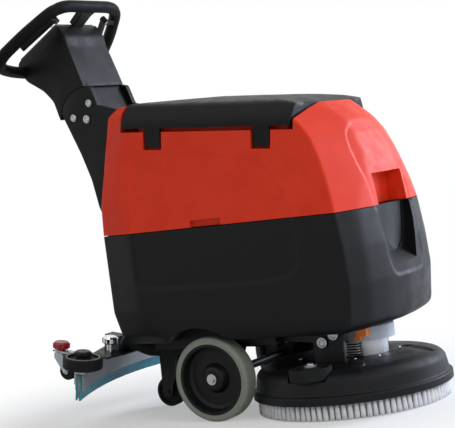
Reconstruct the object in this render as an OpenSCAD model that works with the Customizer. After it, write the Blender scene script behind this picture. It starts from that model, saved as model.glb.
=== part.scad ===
// Walk-behind floor scrubber: two tanks on a wheeled frame, a round brush deck in
// front of the axle, a squeegee behind it, and a steering handle on a tilting column.
// +X is forward, +Y is left, +Z is up. The origin is on the floor, midway along and
// across the machine.

/* [Body] */
// Place of the main axle ahead of the middle of the machine
axle_x = 28; // [20:1:36]
// Half of the body's width at the joint between the tanks
body_half_w = 219; // [214:1:226]
// Reach of the body's nose
nose_x = 463; // [458:1:472]
// Reach of the body's rear face, behind the origin
rear_reach = 237; // [230:1:244]
// Underside of the lower tank
tank_floor_z = 191; // [188:1:196]
// Joint between the two tanks
split_z = 458; // [452:1:466]
// Highest point of the upper tank, behind the lid
tank_top_z = 764; // [758:1:772]
// Thickness of the moulded tank walls
tank_wall = 6; // [4:0.5:8]
// Gap between the two tanks
split_gap = 2; // [1:0.5:4]
// Width of the scoop in the nose of the lower tank
scoop_w = 180; // [150:1:190]
// Depth of the scoop
scoop_depth = 26; // [18:1:32]
// Width of the hand pocket under the nose of the upper tank
pocket_w = 150; // [120:1:156]
// Depth of the hand pocket
pocket_depth = 24; // [16:1:28]

/* [Lid] */
// Distance from the body's widest line in to the lid's edge
lid_in = 31; // [28:1:37]
// Length of the lid along its middle
lid_len = 487; // [480:1:494]
// Height of the lid's rear lower edge
lid_rear_z = 711; // [708:1:716]
// Downward slope of the lid towards the nose, in degrees
lid_slope = 6; // [5:0.25:6.5]
// Height of the lid's sides
lid_h = 46; // [40:1:50]
// How far the lid's front edge bows out beyond its corners
lid_bow = 17; // [12:1:20]
// Thickness of the lid's shell
lid_wall = 3.5; // [2.5:0.5:5]
// Shadow gap between the lid and the upper tank
lid_gap = 9; // [7:0.5:11]
// Width of each lid tab
tab_w = 43; // [34:1:50]

/* [Wheels] */
// Radius of the main wheels
wheel_r = 100; // [96:1:104]
// Width of the main tyres
tyre_w = 47; // [40:1:50]
// Radius of the main rims
rim_r = 84.3; // [78:0.1:88]
// Outer face of the main tyres, from the middle plane
wheel_out = 209; // [206:1:212]
// Radius of the main axle
axle_r = 10; // [8:0.5:12]
// Distance from the main axle back to the caster wheel
caster_behind = 261; // [258:1:266]
// Radius of the rear caster wheel
caster_r = 38; // [34:1:42]
// Width of the rear caster wheel
caster_w = 28; // [24:1:32]
// Trail of the rear caster
caster_trail = 25; // [20:1:30]

/* [Brush deck] */
// Distance from the main axle forward to the brush shaft
brush_ahead = 261; // [256:1:266]
// Radius of the deck's lower rim
deck_r = 237; // [234:1:242]
// Radius of the bristle ring
bristle_r = 229; // [222:1:231]
// Length of the bristles below the deck's rim
bristle_show = 37; // [32:1:42]
// Height of the deck's rim band
rim_h = 18; // [14:1:22]
// Wall of the deck's shroud
deck_wall = 5; // [4:0.5:7]
// Height of the deck's flat top above the floor
deck_top_z = 114; // [110:1:118]
// Radius of the brush motor
motor_r = 65; // [58:1:70]
// Distance from the brush shaft forward to the motor
motor_ahead = 54; // [48:1:60]
// Radius of the bumper roller
bumper_r = 50; // [44:1:54]
// Thickness of the bumper roller
bumper_h = 28; // [22:1:32]

/* [Squeegee] */
// Distance from the main axle forward to the squeegee's pivot
pivot_ahead = 122; // [112:1:130]
// Height of the squeegee's pivot shaft
pivot_z = 158; // [154:1:160]
// Angle by which the stored squeegee is lifted, in degrees
lift_deg = 11.5; // [10:0.25:12.5]
// Distance from the main axle back to the front blade
squeegee_behind = 336; // [333:1:342]
// Half of the squeegee's span
squeegee_half = 326; // [312:1:336]
// Radius of the squeegee's curve
squeegee_curve = 930; // [860:5:1000]
// Distance between the two squeegee blades
blade_gap = 30; // [24:1:34]
// Thickness of each blade
blade_t = 4; // [3:0.5:5]
// Radius of the squeegee's end rollers
end_roller_r = 48; // [42:1:52]
// Thickness of the end rollers
end_roller_h = 28; // [22:1:32]
// Radius of the squeegee's own small wheels
small_wheel_r = 22; // [18:1:24]
// Outer radius of the ribbed suction hose
hose_r = 15; // [14:0.5:16]
// Radius of the hose's bore, and of the ducts that it joins
hose_bore_r = 11.5; // [10:0.5:12]

/* [Handle] */
// Half of the column's width
column_half_w = 85; // [78:1:90]
// Thickness of each cheek that carries the column
cheek_t = 16; // [12:1:18]
// Radius of the rounded seam between the cheeks and the column
seam_r = 82; // [76:1:86]
// Radius of the handle loop's tube
grip_r = 15.5; // [13:0.5:17]
// Half of the handle loop's width
loop_half_w = 203; // [190:1:212]
// Height of the middle of the handle's top bar
top_bar_z = 1040; // [1030:1:1048]

/* [Fits] */
// Radial running clearance of shafts and pins
run_gap = 0.05; // [0.02:0.01:0.1]
// Side gap between parts that turn past each other
side_gap = 1; // [0.5:0.1:1.5]

/* [Hidden] */

far = 900;
tiny = 0.01;
black = "#1b1d20";
steel = "#b9bcc0";

// ---------------------------------------------------------------- helpers
// A slab cut from a side view: points are [x, z], from y0 to y1.
module side_slab(points, y0, y1) {
    translate([0, y1, 0]) rotate([90, 0, 0]) linear_extrude(height = y1 - y0)
        polygon(points);
}

// A slab cut from a front view: points are [y, z], from x0 to x1.
module front_slab(points, x0, x1) {
    translate([x0, 0, 0]) rotate([90, 0, 90]) linear_extrude(height = x1 - x0)
        polygon(points);
}

// A cylinder along Y between y0 and y1.
module y_rod(x, z, r, y0, y1) {
    translate([x, y1, z]) rotate([90, 0, 0]) cylinder(h = y1 - y0, r = r, $fn = 64);
}

// A vertical cylinder between z0 and z1.
module z_rod(x, y, r, z0, z1) {
    translate([x, y, z0]) cylinder(h = z1 - z0, r = r, $fn = 64);
}

// A block between two corners.
module block(low, high) {
    translate(low) cube(high - low);
}

module mirrored() {
    children();
    mirror([0, 1, 0]) children();
}

// A round tube swept along points, with its rings carried along without twist.
function unit(v) = v / norm(v);
function along(p, i) = unit(p[min(i + 1, len(p) - 1)] - p[max(i - 1, 0)]);
function carried(n, t) = unit(n - (n * t) * t);
function normals(p, i = 0, n = [0, 0, 1], out = []) =
    i == len(p) ? out : normals(p, i + 1, carried(n, along(p, i)),
        concat(out, [carried(n, along(p, i))]));
module swept_tube(p, radii, sides, first_normal = [0, 0, 1]) {
    n = normals(p, 0, first_normal);
    rings = [for (i = [0:len(p) - 1]) for (k = [0:sides - 1])
        let (a = 360 * k / sides, t = along(p, i))
        p[i] + radii[i] * (cos(a) * n[i] + sin(a) * cross(t, n[i]))];
    walls = [for (i = [0:len(p) - 2]) for (k = [0:sides - 1]) for (f = [0, 1])
        let (a = i * sides + k, b = i * sides + (k + 1) % sides)
        f == 0 ? [a, b + sides, b] : [a, a + sides, b + sides]];
    last = (len(p) - 1) * sides;
    ends = [for (k = [1:sides - 2]) for (f = [0, 1])
        f == 0 ? [0, k, k + 1] : [last, last + k + 1, last + k]];
    polyhedron(points = rings, faces = concat(walls, ends));
}

// ---------------------------------------------------------------- the two tanks
// Corner points of the body's plan, from the nose round to the rear.
plan = [[nose_x, 0], [nose_x - 8, 90], [nose_x - 23, 158], [nose_x - 49, body_half_w],
    [-rear_reach + 95, body_half_w], [-rear_reach + 3, body_half_w - 24]];
function wall_angle(a, b) = atan2(a[0] - b[0], b[1] - a[1]);
function wall_dist(a, b) = a[0] * cos(wall_angle(a, b)) + a[1] * sin(wall_angle(a, b));

// How far the walls lean out at each height, as [height, offset].
foot = [[tank_floor_z, -30], [tank_floor_z + 7, -8], [tank_floor_z + 18, 4],
    [split_z - 160, 13], [split_z - 80, 9], [split_z, 0]];
nose_lean = concat(foot, [[split_z + 42, -4], [split_z + 88, -11], [split_z + 128, -22],
    [split_z + 170, -40], [split_z + 205, -65], [split_z + 229, -92], [tank_top_z, -180]]);
corner_lean = concat(foot, [[split_z + 42, -10], [split_z + 88, -24], [split_z + 128, -38],
    [split_z + 170, -56], [split_z + 205, -80], [split_z + 229, -104], [tank_top_z, -180]]);
side_lean = [[tank_floor_z, -14], [tank_floor_z + 12, -3], [tank_floor_z + 30, 0],
    [split_z, 0], [split_z + 42, -6], [split_z + 88, -14], [split_z + 132, -21],
    [split_z + 182, -27], [tank_top_z - 64, -31], [tank_top_z - 12, -44], [tank_top_z, -66]];
rear_lean = [[tank_floor_z, -26], [tank_floor_z + 21, -11], [tank_floor_z + 80, 0],
    [split_z, 0], [split_z + 72, -3], [split_z + 182, -22], [tank_top_z - 20, -40],
    [tank_top_z, -62]];
leans = [nose_lean, nose_lean, corner_lean, side_lean, rear_lean];
walls = concat([for (s = [1, -1]) for (i = [0:4])
    [s * wall_angle(plan[i], plan[i + 1]), wall_dist(plan[i], plan[i + 1]), leans[i]]],
    [[180, rear_reach, rear_lean]]);

// Everything inside one leaning wall between two heights, moved in by inset.
module wall_cut(wall, inset, z0, z1) {
    lean = wall[2];
    heights = concat([z0], [for (p = lean) if (p[0] > z0 && p[0] < z1) p[0]], [z1]);
    rotate([0, 0, wall[0]]) side_slab(concat([[-far, z1], [-far, z0]],
        [for (z = heights) [wall[1] + lookup(z, lean) - inset, z]]), -far, far);
}

// The body's outer shape between two heights, moved in by inset.
module body_shape(inset, z0, z1) {
    intersection_for (wall = walls) wall_cut(wall, inset, z0, z1);
}

// Space for the main wheel beside the lower tank.
arch_x = axle_x - 20;
arch_r = wheel_r + 36;
arch_in = wheel_out - tyre_w - 14;
arch_z = wheel_r - 11;
module wheel_arches(grow) {
    mirrored() y_rod(arch_x, arch_z, arch_r + grow, arch_in - grow, far);
}

// The scoop in the nose, an open tray below the joint that narrows downwards.
scoop_low_z = split_z - 150;
module scoop(grow) {
    w = scoop_w / 2 + grow;
    intersection() {
        front_slab([[-w, split_z + grow], [-w, split_z - 40], [-w * 0.62, scoop_low_z - grow],
            [w * 0.62, scoop_low_z - grow], [w, split_z - 40], [w, split_z + grow]],
            nose_x - 160, far);
        side_slab([[far, split_z + 1 + grow], [nose_x - scoop_depth - grow, split_z + 1 + grow],
            [nose_x - scoop_depth - grow, split_z - 110],
            [nose_x + 22, scoop_low_z - grow], [far, scoop_low_z - grow]], -far, far);
    }
}

// The bay in the tank's underside that the motor and its brackets rise into, in front
// of the cross wall between the batteries and the water.
brush_x = axle_x + brush_ahead;
motor_x = brush_x + motor_ahead;
clip_l = 26;
clip_out = 12;
bay_h = 42;
water_x = axle_x + 137;
rib_t = 8;
bay_half_w = 126;
bay_rear = water_x + tank_wall;
module deck_bay(grow) {
    z1 = tank_floor_z + bay_h + grow;
    block([bay_rear - grow, -bay_half_w - grow, 0], [motor_x - 2 + grow, bay_half_w + grow, z1]);
    z_rod(motor_x, 0, motor_r + 5 + grow, 0, z1);
    block([motor_x - 2, -motor_r - clip_out - 8 - grow, 0],
        [motor_x + clip_l + 18 + grow, 0, z1]);
}

// The hinge behind the joint, on which the upper tank tips back. An ear reaches from
// the rear wall round the pin; side is 1 above the joint and -1 below it.
knuckle_x = -rear_reach - 9;
knuckle_z = split_z + split_gap / 2;
knuckle_r = 8;
knuckle_pin_r = 4;
knuckle_y = 120;
knuckle_w = 30;
lug_w = 14;
module hinge_ear(y0, y1, side) {
    y_rod(knuckle_x, knuckle_z, knuckle_r, y0, y1);
    intersection() {
        block([knuckle_x, y0, knuckle_z - knuckle_r], [-rear_reach + 3, y1, knuckle_z + knuckle_r]);
        block([-far, y0, side > 0 ? knuckle_z + 1 : 0], [far, y1, side > 0 ? far : knuckle_z - 1]);
    }
}

// The tank is open on top, with a cross wall between the batteries and the water,
// and a spigot underneath that the suction hose is pushed onto.
hose_y = -96;
spigot_x = -172;
spigot_z = tank_floor_z - 31;
duct_x = spigot_x + 22;
module solution_tank() {
    color(black) difference() {
        union() {
            difference() {
                body_shape(0, tank_floor_z, split_z);
                difference() {
                    body_shape(tank_wall, tank_floor_z + tank_wall, split_z + tiny);
                    wheel_arches(tank_wall);
                    scoop(tank_wall);
                    deck_bay(tank_wall);
                    block([water_x - rib_t, -far, 0], [water_x, far, split_z - cover_t - tiny]);
                }
                wheel_arches(0);
                scoop(0);
                deck_bay(0);
            }
            block([spigot_x, hose_y - hose_r - 1, spigot_z - hose_r - 2],
                [duct_x + 17, hose_y + hose_r + 1, tank_floor_z + 1]);
            mirrored() for (y = [knuckle_y - lug_w - side_gap / 2,
                knuckle_y + knuckle_w + side_gap / 2]) hinge_ear(y, y + lug_w, -1);
        }
        translate([spigot_x - 1, hose_y, spigot_z]) rotate([0, 90, 0])
            cylinder(h = duct_x - spigot_x + 1, r = hose_bore_r, $fn = 64);
        z_rod(duct_x, hose_y, hose_bore_r, spigot_z, tank_floor_z + tank_wall + 1);
    }
    color(steel) mirrored() y_rod(knuckle_x, knuckle_z, knuckle_pin_r, knuckle_y - lug_w,
        knuckle_y + knuckle_w + lug_w);
}

// ---------------------------------------------------------------- inside the lower tank
cover_t = 5;
fill_r = 32;
fill_x = water_x + 110;
fill_y = body_half_w - 109;
module solution_cover() {
    z0 = split_z - cover_t;
    color("#3a3d42") difference() {
        intersection() {
            body_shape(tank_wall + 1, z0, split_z);
            block([water_x - rib_t, -far, z0 - 1], [far, far, split_z + 1]);
        }
        scoop(tank_wall + 1);
        z_rod(fill_x, fill_y, fill_r, z0 - 1, split_z + 1);
        block([water_x - rib_t - 1, -30, z0 - 1], [water_x + 12, 30, split_z + 1]);
    }
}

// A screw cap whose neck fills the hole, sunk below the joint.
module fill_cap() {
    color("#2f6fb0") difference() {
        union() {
            z_rod(fill_x, fill_y, fill_r - 1, split_z - cover_t - 12, split_z + 1);
            z_rod(fill_x, fill_y, fill_r + 8, split_z + 0.3, split_z + 1.5);
        }
        z_rod(fill_x, fill_y, fill_r - 5, split_z - cover_t - 13, split_z - 3);
    }
}

battery_l = 168;
battery_w = 130;
battery_h = 205;
battery_x = -40;
battery_z = tank_floor_z + tank_wall;
module battery() {
    x0 = battery_x - battery_l / 2;
    color("#2b2f36") {
        block([x0, 3, battery_z], [x0 + battery_l, 3 + battery_w, battery_z + battery_h]);
        block([x0 + 6, 9, battery_z + battery_h - tiny],
            [x0 + battery_l - 6, battery_w - 3, battery_z + battery_h + 8]);
    }
    color("silver") for (x = [x0 + 24, x0 + battery_l - 24])
        z_rod(x, 30, 7, battery_z + battery_h + 7, battery_z + battery_h + 20);
}
module battery_left() battery();
module battery_right() mirror([0, 1, 0]) battery();

module controller() {
    x0 = battery_x + battery_l / 2 + 22;
    color("#55595f") {
        block([x0, -70, battery_z], [x0 + 60, 70, battery_z + 110]);
        for (y = [-60:15:60]) block([x0 + 5, y - 2, battery_z + 110 - tiny],
            [x0 + 55, y + 2, battery_z + 122]);
    }
}

// The duct that carries the suction air up past the batteries to the upper tank.
module suction_duct() {
    color("#3a3d42") difference() {
        z_rod(duct_x, hose_y, hose_bore_r + 3, tank_floor_z + tank_wall, split_z);
        z_rod(duct_x, hose_y, hose_bore_r, tank_floor_z, split_z + 1);
    }
}

// ---------------------------------------------------------------- frame and wheels
rail_y = 128;
rail_w = 24;
rail_h = 26;
rail_in = rail_y - rail_w / 2;
rail_z = tank_floor_z - rail_h;
rail_front = axle_x + 150;
rail_rear = -rear_reach + 72;
plate_t = 6;
arm_pivot_x = axle_x + 44;
arm_pivot_z = pivot_z + 14;
pivot_x = axle_x + pivot_ahead;
caster_x = axle_x - caster_behind;
caster_axis_x = caster_x + caster_trail;
caster_top = rail_z + 14;
rear_cross_x = rail_rear + 55;
front_cross_x = axle_x + 8;
cross_half = 18;
pin_r = 6;
arm_out = rail_in - 6;
arm_t = 10;
module chassis_frame() {
    color("#26282b") {
        difference() {
            mirrored() {
                block([rail_rear, rail_in, rail_z], [rail_front, rail_y + rail_w / 2, tank_floor_z]);
                side_slab([[axle_x - 60, rail_z + tiny], [axle_x - 24, wheel_r - 18],
                    [axle_x + 24, wheel_r - 18], [axle_x + 60, rail_z + tiny]],
                    rail_y - plate_t / 2, rail_y + plate_t / 2);
                side_slab([[pivot_x - 16, rail_z + tiny], [pivot_x - 12, pivot_z - 12],
                    [pivot_x + 12, pivot_z - 12], [pivot_x + 16, rail_z + tiny]],
                    rail_in, rail_in + plate_t);
            }
            y_rod(axle_x, wheel_r, axle_r, -far, far);
        }
        for (x = [rear_cross_x, front_cross_x])
            block([x - cross_half, -rail_in - tiny, tank_floor_z - plate_t],
                [x + cross_half, rail_in + tiny, tank_floor_z]);
        block([caster_axis_x - 38, -36, caster_top], [rear_cross_x, 36, tank_floor_z]);
        y_rod(pivot_x, pivot_z, pin_r, -rail_in - 1, rail_in + 1);
        mirrored() y_rod(arm_pivot_x, arm_pivot_z, pin_r, arm_out - arm_t - 2, rail_in + 1);
    }
}

module axle() {
    color(steel) y_rod(axle_x, wheel_r, axle_r, -wheel_out + 8, wheel_out - 8);
}

bolt_r = 13;
module hub_bolts() {
    color(steel) mirrored() {
        y_rod(axle_x, wheel_r, bolt_r, wheel_out - 8, wheel_out - 5);
        translate([axle_x, wheel_out - 5, wheel_r]) rotate([-90, 0, 0])
            cylinder(h = 6, r = 8.5, $fn = 6);
    }
}

// A tyre with rounded shoulders, around the wheel's own centre.
module tyre(outer, inner, width, shoulder) {
    h = width / 2;
    rotate([90, 0, 0]) rotate_extrude($fn = 96) polygon([[inner, -h + 1], [outer - shoulder, -h],
        [outer - shoulder * 0.3, -h + shoulder * 0.35], [outer, -h + shoulder],
        [outer, h - shoulder], [outer - shoulder * 0.3, h - shoulder * 0.35],
        [outer - shoulder, h], [inner, h - 1]]);
}
wheel_y = wheel_out - tyre_w / 2;
module main_rim() {
    h = tyre_w / 2;
    color("#17181a") translate([axle_x, wheel_y, wheel_r]) rotate([-90, 0, 0])
        rotate_extrude($fn = 96) polygon([[axle_r + run_gap, -h - 4], [30, -h - 4],
        [34, -h + 6], [rim_r - 14, -h + 6], [rim_r - 8, -h + 2], [rim_r, -h + 2],
        [rim_r, h - 2], [rim_r - 7, h - 2], [rim_r - 12, 2], [rim_r - 20, -2],
        [36, -2], [28, h - 12], [22, h - 9], [axle_r + run_gap, h - 9]]);
}
module main_tyre() {
    color("#6f756c") translate([axle_x, wheel_y, wheel_r])
        tyre(wheel_r, rim_r, tyre_w, 7);
}
module rim_left() main_rim();
module rim_right() mirror([0, 1, 0]) main_rim();
module tyre_left() main_tyre();
module tyre_right() mirror([0, 1, 0]) main_tyre();

// Swivel caster under the rear of the frame.
fork_t = 4;
stem_r = 12;
module caster_plate() {
    color(steel) {
        z_rod(caster_axis_x, 0, 30, caster_top - 8, caster_top);
        z_rod(caster_axis_x, 0, stem_r, caster_top - 30, caster_top - 8 + tiny);
        z_rod(caster_axis_x, 0, stem_r + 6, caster_top - 33, caster_top - 30);
    }
}
module caster_fork() {
    y1 = caster_w / 2 + 2;
    ear = [[caster_axis_x + 26, caster_top - 10], [caster_axis_x - 34, caster_top - 10],
        [caster_x - 14, caster_r], [caster_x - 10, caster_r - 12],
        [caster_x + 10, caster_r - 12], [caster_x + 16, caster_r]];
    color(black) difference() {
        union() {
            z_rod(caster_axis_x, 0, 36, caster_top - 26, caster_top - 10);
            mirrored() side_slab(ear, y1, y1 + fork_t);
            block([caster_axis_x - 30, -y1 - 1, caster_top - 28],
                [caster_axis_x + 22, y1 + 1, caster_top - 12]);
        }
        z_rod(caster_axis_x, 0, stem_r + run_gap, caster_top - 60, caster_top);
        z_rod(caster_axis_x, 0, stem_r + 8, caster_top - 60, caster_top - 28 + tiny);
    }
    color(steel) y_rod(caster_x, caster_r, 6, -y1 - fork_t - 3, y1 + fork_t + 3);
}
module caster_wheel() {
    h = caster_w / 2;
    color(black) translate([caster_x, 0, caster_r]) rotate([90, 0, 0])
        rotate_extrude($fn = 96) polygon([[6 + run_gap, -h], [12, -h], [14, -h + 5],
        [caster_r - 12, -h + 5], [caster_r - 9, -h], [caster_r - 4, -h],
        [caster_r, -h + 4], [caster_r, h - 4], [caster_r - 4, h], [caster_r - 9, h],
        [caster_r - 12, h - 5], [14, h - 5], [12, h], [6 + run_gap, h]]);
}

// ---------------------------------------------------------------- upper tank
upper_z = split_z + split_gap;
lid_x = -rear_reach + 90;
lid_half_w = body_half_w - lid_in;
lid_side = lid_len - lid_bow;
lid_corner = lid_side + 4;
corner_w = 0.63;
rim_t = 10;

// Everything that sits along the sloping rim is drawn level, then tilted.
module on_rim() {
    translate([lid_x, 0, lid_rear_z]) rotate([0, lid_slope, 0]) children();
}

// The lid's outline in plan, grown by g, with its front corners cut off.
module lid_plan(g) {
    w = lid_half_w + g;
    polygon([[-g, -w], [lid_side + g, -w], [lid_corner + g, -w * corner_w], [lid_len + g, 0],
        [lid_corner + g, w * corner_w], [lid_side + g, w], [-g, w]]);
}

// The room that the lid takes out of the upper tank, open at both sides.
seat_gap = 4;
module lid_seat() {
    on_rim() translate([0, 0, -lid_gap]) linear_extrude(height = 200) {
        lid_plan(seat_gap);
        translate([-seat_gap, -far]) square([lid_side + 2 * seat_gap, 2 * far]);
    }
}

// The neck that the seal sits on, inside the lid's skirt.
neck_in = 24;
neck_start = 14;
neck_short = 36;
neck_h = 12;
seal_h = 6;
module neck(inset, t, z0, z1) {
    on_rim() translate([neck_start, 0, z0]) linear_extrude(height = z1 - z0) difference() {
        translate([inset, 0]) intersection() {
            translate([-neck_short, 0]) lid_plan(-inset);
            translate([0, -far]) square(2 * far);
        }
        translate([inset + t, 0]) intersection() {
            translate([-neck_short - t, 0]) lid_plan(-inset - t);
            translate([0, -far]) square(2 * far);
        }
    }
}

tab_places = [70, 368];
tab_drop = 46;
tab_t = 5;
module tab_notches(grow) {
    on_rim() for (x = tab_places) mirrored()
        block([x - 5 - grow, lid_half_w - 16 - grow, -tab_drop - 5 - grow],
            [x + tab_w + 5 + grow, far, 1]);
}

// The hand pocket under the nose, and a finger pocket at each side.
finger_x = axle_x + 5;
finger_w = 84;
module hand_pockets(grow) {
    w = pocket_w / 2 + grow;
    block([nose_x - 34 - pocket_depth - grow, -w, 0], [far, w, upper_z + 72 + grow]);
    mirrored() front_slab([[body_half_w - 14 - grow, 0], [far, 0],
        [far, upper_z + 20 + grow], [body_half_w - 14 - grow, upper_z + 16 + grow]],
        finger_x - grow, finger_x + finger_w + grow);
}

// The dry well for the suction motor, open under the lid.
well_u = 30;
well_x = lid_x + well_u;
well_l = 144;
well_y = 14;
well_w = lid_half_w - 56;
well_z = upper_z + 100;
mouth_u = well_u + well_l + 16;
mouth_half_w = lid_half_w - 38;
module dry_well(grow) {
    block([well_x - grow, well_y - grow, well_z - grow],
        [well_x + well_l + grow, well_y + well_w + grow, far]);
}

hinge_y = lid_half_w - 4;
hinge_w = -12;
hinge_pin_r = 3;
module recovery_tank() {
    z0 = upper_z;
    color("#d8301f") difference() {
        body_shape(0, z0, tank_top_z);
        difference() {
            body_shape(tank_wall, z0 + tank_wall, tank_top_z - tank_wall);
            hand_pockets(tank_wall);
            tab_notches(tank_wall);
            dry_well(tank_wall);
            on_rim() block([-4 - tank_wall, -far, -lid_gap - rim_t], [far, far, far]);
        }
        on_rim() block([mouth_u, -mouth_half_w, -lid_gap - rim_t - 1],
            [lid_side - 20, mouth_half_w, far]);
        dry_well(0);
        lid_seat();
        hand_pockets(0);
        tab_notches(0);
        z_rod(duct_x, hose_y, hose_bore_r, z0 - 1, z0 + tank_wall + 1);
    }
    color("#d8301f") mirrored() difference() {
        hinge_ear(knuckle_y, knuckle_y + knuckle_w, 1);
        y_rod(knuckle_x, knuckle_z, knuckle_pin_r + run_gap, 0, far);
    }
    color("#d8301f") neck(neck_in, tank_wall, -lid_gap - tiny, neck_h);
    color(steel) on_rim() for (x = tab_places)
        translate([x - 9, hinge_y, hinge_w]) rotate([0, 90, 0])
        cylinder(h = tab_w + 18, r = hinge_pin_r, $fn = 48);
}

motor_well_x = well_x + well_l / 2;
motor_well_y = well_y + well_w / 2;
module vacuum_motor() {
    color("#7c8288") translate([motor_well_x, motor_well_y, well_z]) rotate_extrude($fn = 72)
        polygon([[0, 0], [58, 0], [58, 30], [50, 34], [50, 70], [56, 74], [56, 92],
            [30, 98], [0, 98]]);
}

pipe_x = lid_x + lid_len / 2;
pipe_y = -lid_half_w + 88;
module float_filter() {
    color("#d9d9d2") translate([pipe_x, pipe_y, upper_z + tank_wall])
        rotate_extrude($fn = 64) polygon([[20, 0], [34, 0], [34, 5], [24, 8], [24, 130],
            [33, 133], [33, 172], [12, 178], [12, 172], [29, 168], [29, 138], [20, 134]]);
}

// ---------------------------------------------------------------- lid
module lid_shape(inset, base) {
    w = lid_half_w - inset;
    top = lid_h + 15 - inset;
    on_rim() intersection() {
        translate([0, 0, base]) linear_extrude(height = 100) lid_plan(-inset);
        side_slab([[inset, base], [inset + 5, lid_h + 12 - inset],
            [lid_len * 0.4, lid_h + 22 - inset], [lid_len * 0.75, lid_h + 19 - inset],
            [lid_len - 55, lid_h + 11 - inset], [lid_len - 20, lid_h + 4 - inset],
            [lid_len, lid_h - 2 - inset], [far, base]], -far, far);
        front_slab([[-w, base], [-w, 10], [-w + 6, 24], [-w + 26, top - 6], [-w + 40, top + 1],
            [0, top + 6], [w - 40, top + 1], [w - 26, top - 6], [w - 6, 24], [w, 10],
            [w, base]], -far, far);
    }
}
land_t = 3;
module lid() {
    land_z = neck_h + seal_h;
    color("#202124") difference() {
        union() {
            difference() {
                lid_shape(0, 0);
                lid_shape(lid_wall, -1);
            }
            intersection() {
                lid_shape(lid_wall / 2, 0);
                on_rim() block([-far, -far, land_z], [far, far, land_z + land_t]);
                on_rim() linear_extrude(height = 100) difference() {
                    lid_plan(0);
                    lid_plan(-neck_in - 12);
                }
            }
            on_rim() for (x = tab_places) {
                block([x, -lid_half_w + 1, -tab_drop], [x + tab_w, -lid_half_w + 1 + tab_t, 6]);
                block([x + 4, lid_half_w - 8, hinge_w], [x + tab_w - 4, lid_half_w - 2, 6]);
                translate([x + 4, hinge_y, hinge_w]) rotate([0, 90, 0])
                    cylinder(h = tab_w - 8, r = 7, $fn = 48);
            }
        }
        on_rim() translate([0, hinge_y, hinge_w]) rotate([0, 90, 0])
            cylinder(h = far, r = hinge_pin_r + run_gap, $fn = 48);
    }
}
module lid_seal() {
    color("#111214") neck(neck_in - 1, tank_wall + 2, neck_h, neck_h + seal_h);
}

// ---------------------------------------------------------------- column bracket
tilt_x = -rear_reach - 83;
tilt_z = tank_top_z - 12;
tilt_pin_r = 8;
lock_r = 6;
lock_reach = seam_r / 2;
lock_turns = [71, 169];
tongue_r = seam_r - 8;
tongue_half_w = column_half_w - cheek_t - side_gap;
function rear_wall_x(z) = -rear_reach - lookup(z, rear_lean);
function beside_tilt(x, z) = [tilt_x + x, tilt_z + z];
bracket_side = concat([for (a = [164:-10:84]) beside_tilt(seam_r * cos(a), seam_r * sin(a))],
    [beside_tilt(21, seam_r - 3), beside_tilt(27, 62), beside_tilt(37, 31), beside_tilt(58, 23)],
    [for (z = [tank_top_z - 10, tank_top_z - 20, split_z + 182, split_z + 72, split_z + 40])
        [rear_wall_x(z), z]],
    [[tilt_x + 8, split_z + 50], [tilt_x, split_z + 70], beside_tilt(-12, -153),
    beside_tilt(-34, -86), beside_tilt(-61, -20)]);
module column_bracket() {
    cheek_in = column_half_w - cheek_t;
    color(black) difference() {
        union() {
            mirrored() side_slab(bracket_side, cheek_in, column_half_w);
            intersection() {
                side_slab(bracket_side, -cheek_in - 1, cheek_in + 1);
                union() {
                    block([-far, -far, 0], [far, far, tilt_z - tongue_r - 6]);
                    block([tilt_x + tongue_r + 10, -far, 0], [far, far, far]);
                }
            }
        }
        block([tilt_x + 14, -cheek_in, split_z + 64],
            [-rear_reach - 8, cheek_in, tilt_z - tongue_r]);
        y_rod(tilt_x, tilt_z, tilt_pin_r, -far, far);
        for (a = lock_turns) y_rod(tilt_x + lock_reach * cos(a), tilt_z + lock_reach * sin(a),
            lock_r, -far, far);
    }
}

// The pivot screws and the lock screws, with their round heads outside the cheeks.
module column_screws() {
    color(steel) mirrored() {
        y_rod(tilt_x, tilt_z, tilt_pin_r, tongue_half_w - 22, column_half_w + tiny);
        y_rod(tilt_x, tilt_z, 10, column_half_w, column_half_w + 3);
        for (a = lock_turns) {
            x = tilt_x + lock_reach * cos(a);
            z = tilt_z + lock_reach * sin(a);
            y_rod(x, z, lock_r, column_half_w - cheek_t, column_half_w + tiny);
            y_rod(x, z, 9, column_half_w, column_half_w + 3);
        }
    }
}

// ---------------------------------------------------------------- column
head_x = tilt_x - 35;
head_z = top_bar_z - 71;
panel_top = [head_x - 22, head_z + 33];
panel_low = [head_x - 163, head_z - 44];
function beside_head(x, z) = [head_x + x, head_z + z];
column_side = [[head_x, head_z], panel_top, panel_low, beside_head(-167, -64),
    beside_head(-142, -99), beside_head(-119, -113), beside_head(-91, -132),
    beside_head(-66, -161), beside_tilt(-seam_r - 6, 8), [tilt_x, tilt_z],
    beside_tilt(12, seam_r), beside_tilt(3, seam_r + 2), beside_head(4, -28)];
tongue_side = [beside_tilt(-seam_r - 4, 12), beside_tilt(-50, 100), beside_tilt(4, 90),
    beside_tilt(20, 30), beside_tilt(-60, 4)];
tongue_limit = [[-far, 0], [tilt_x + 42, 0], beside_tilt(42, -12), beside_tilt(25, 28),
    beside_tilt(3, seam_r + 2), [tilt_x + 3, far], [-far, far]];
pocket_side = [beside_head(-30, 16), beside_head(-115, -42), beside_head(-107, -97),
    beside_head(-77, -122), beside_head(-51, -131), beside_tilt(-20, 98),
    beside_head(-13, -29), beside_head(-17, 0)];

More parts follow.
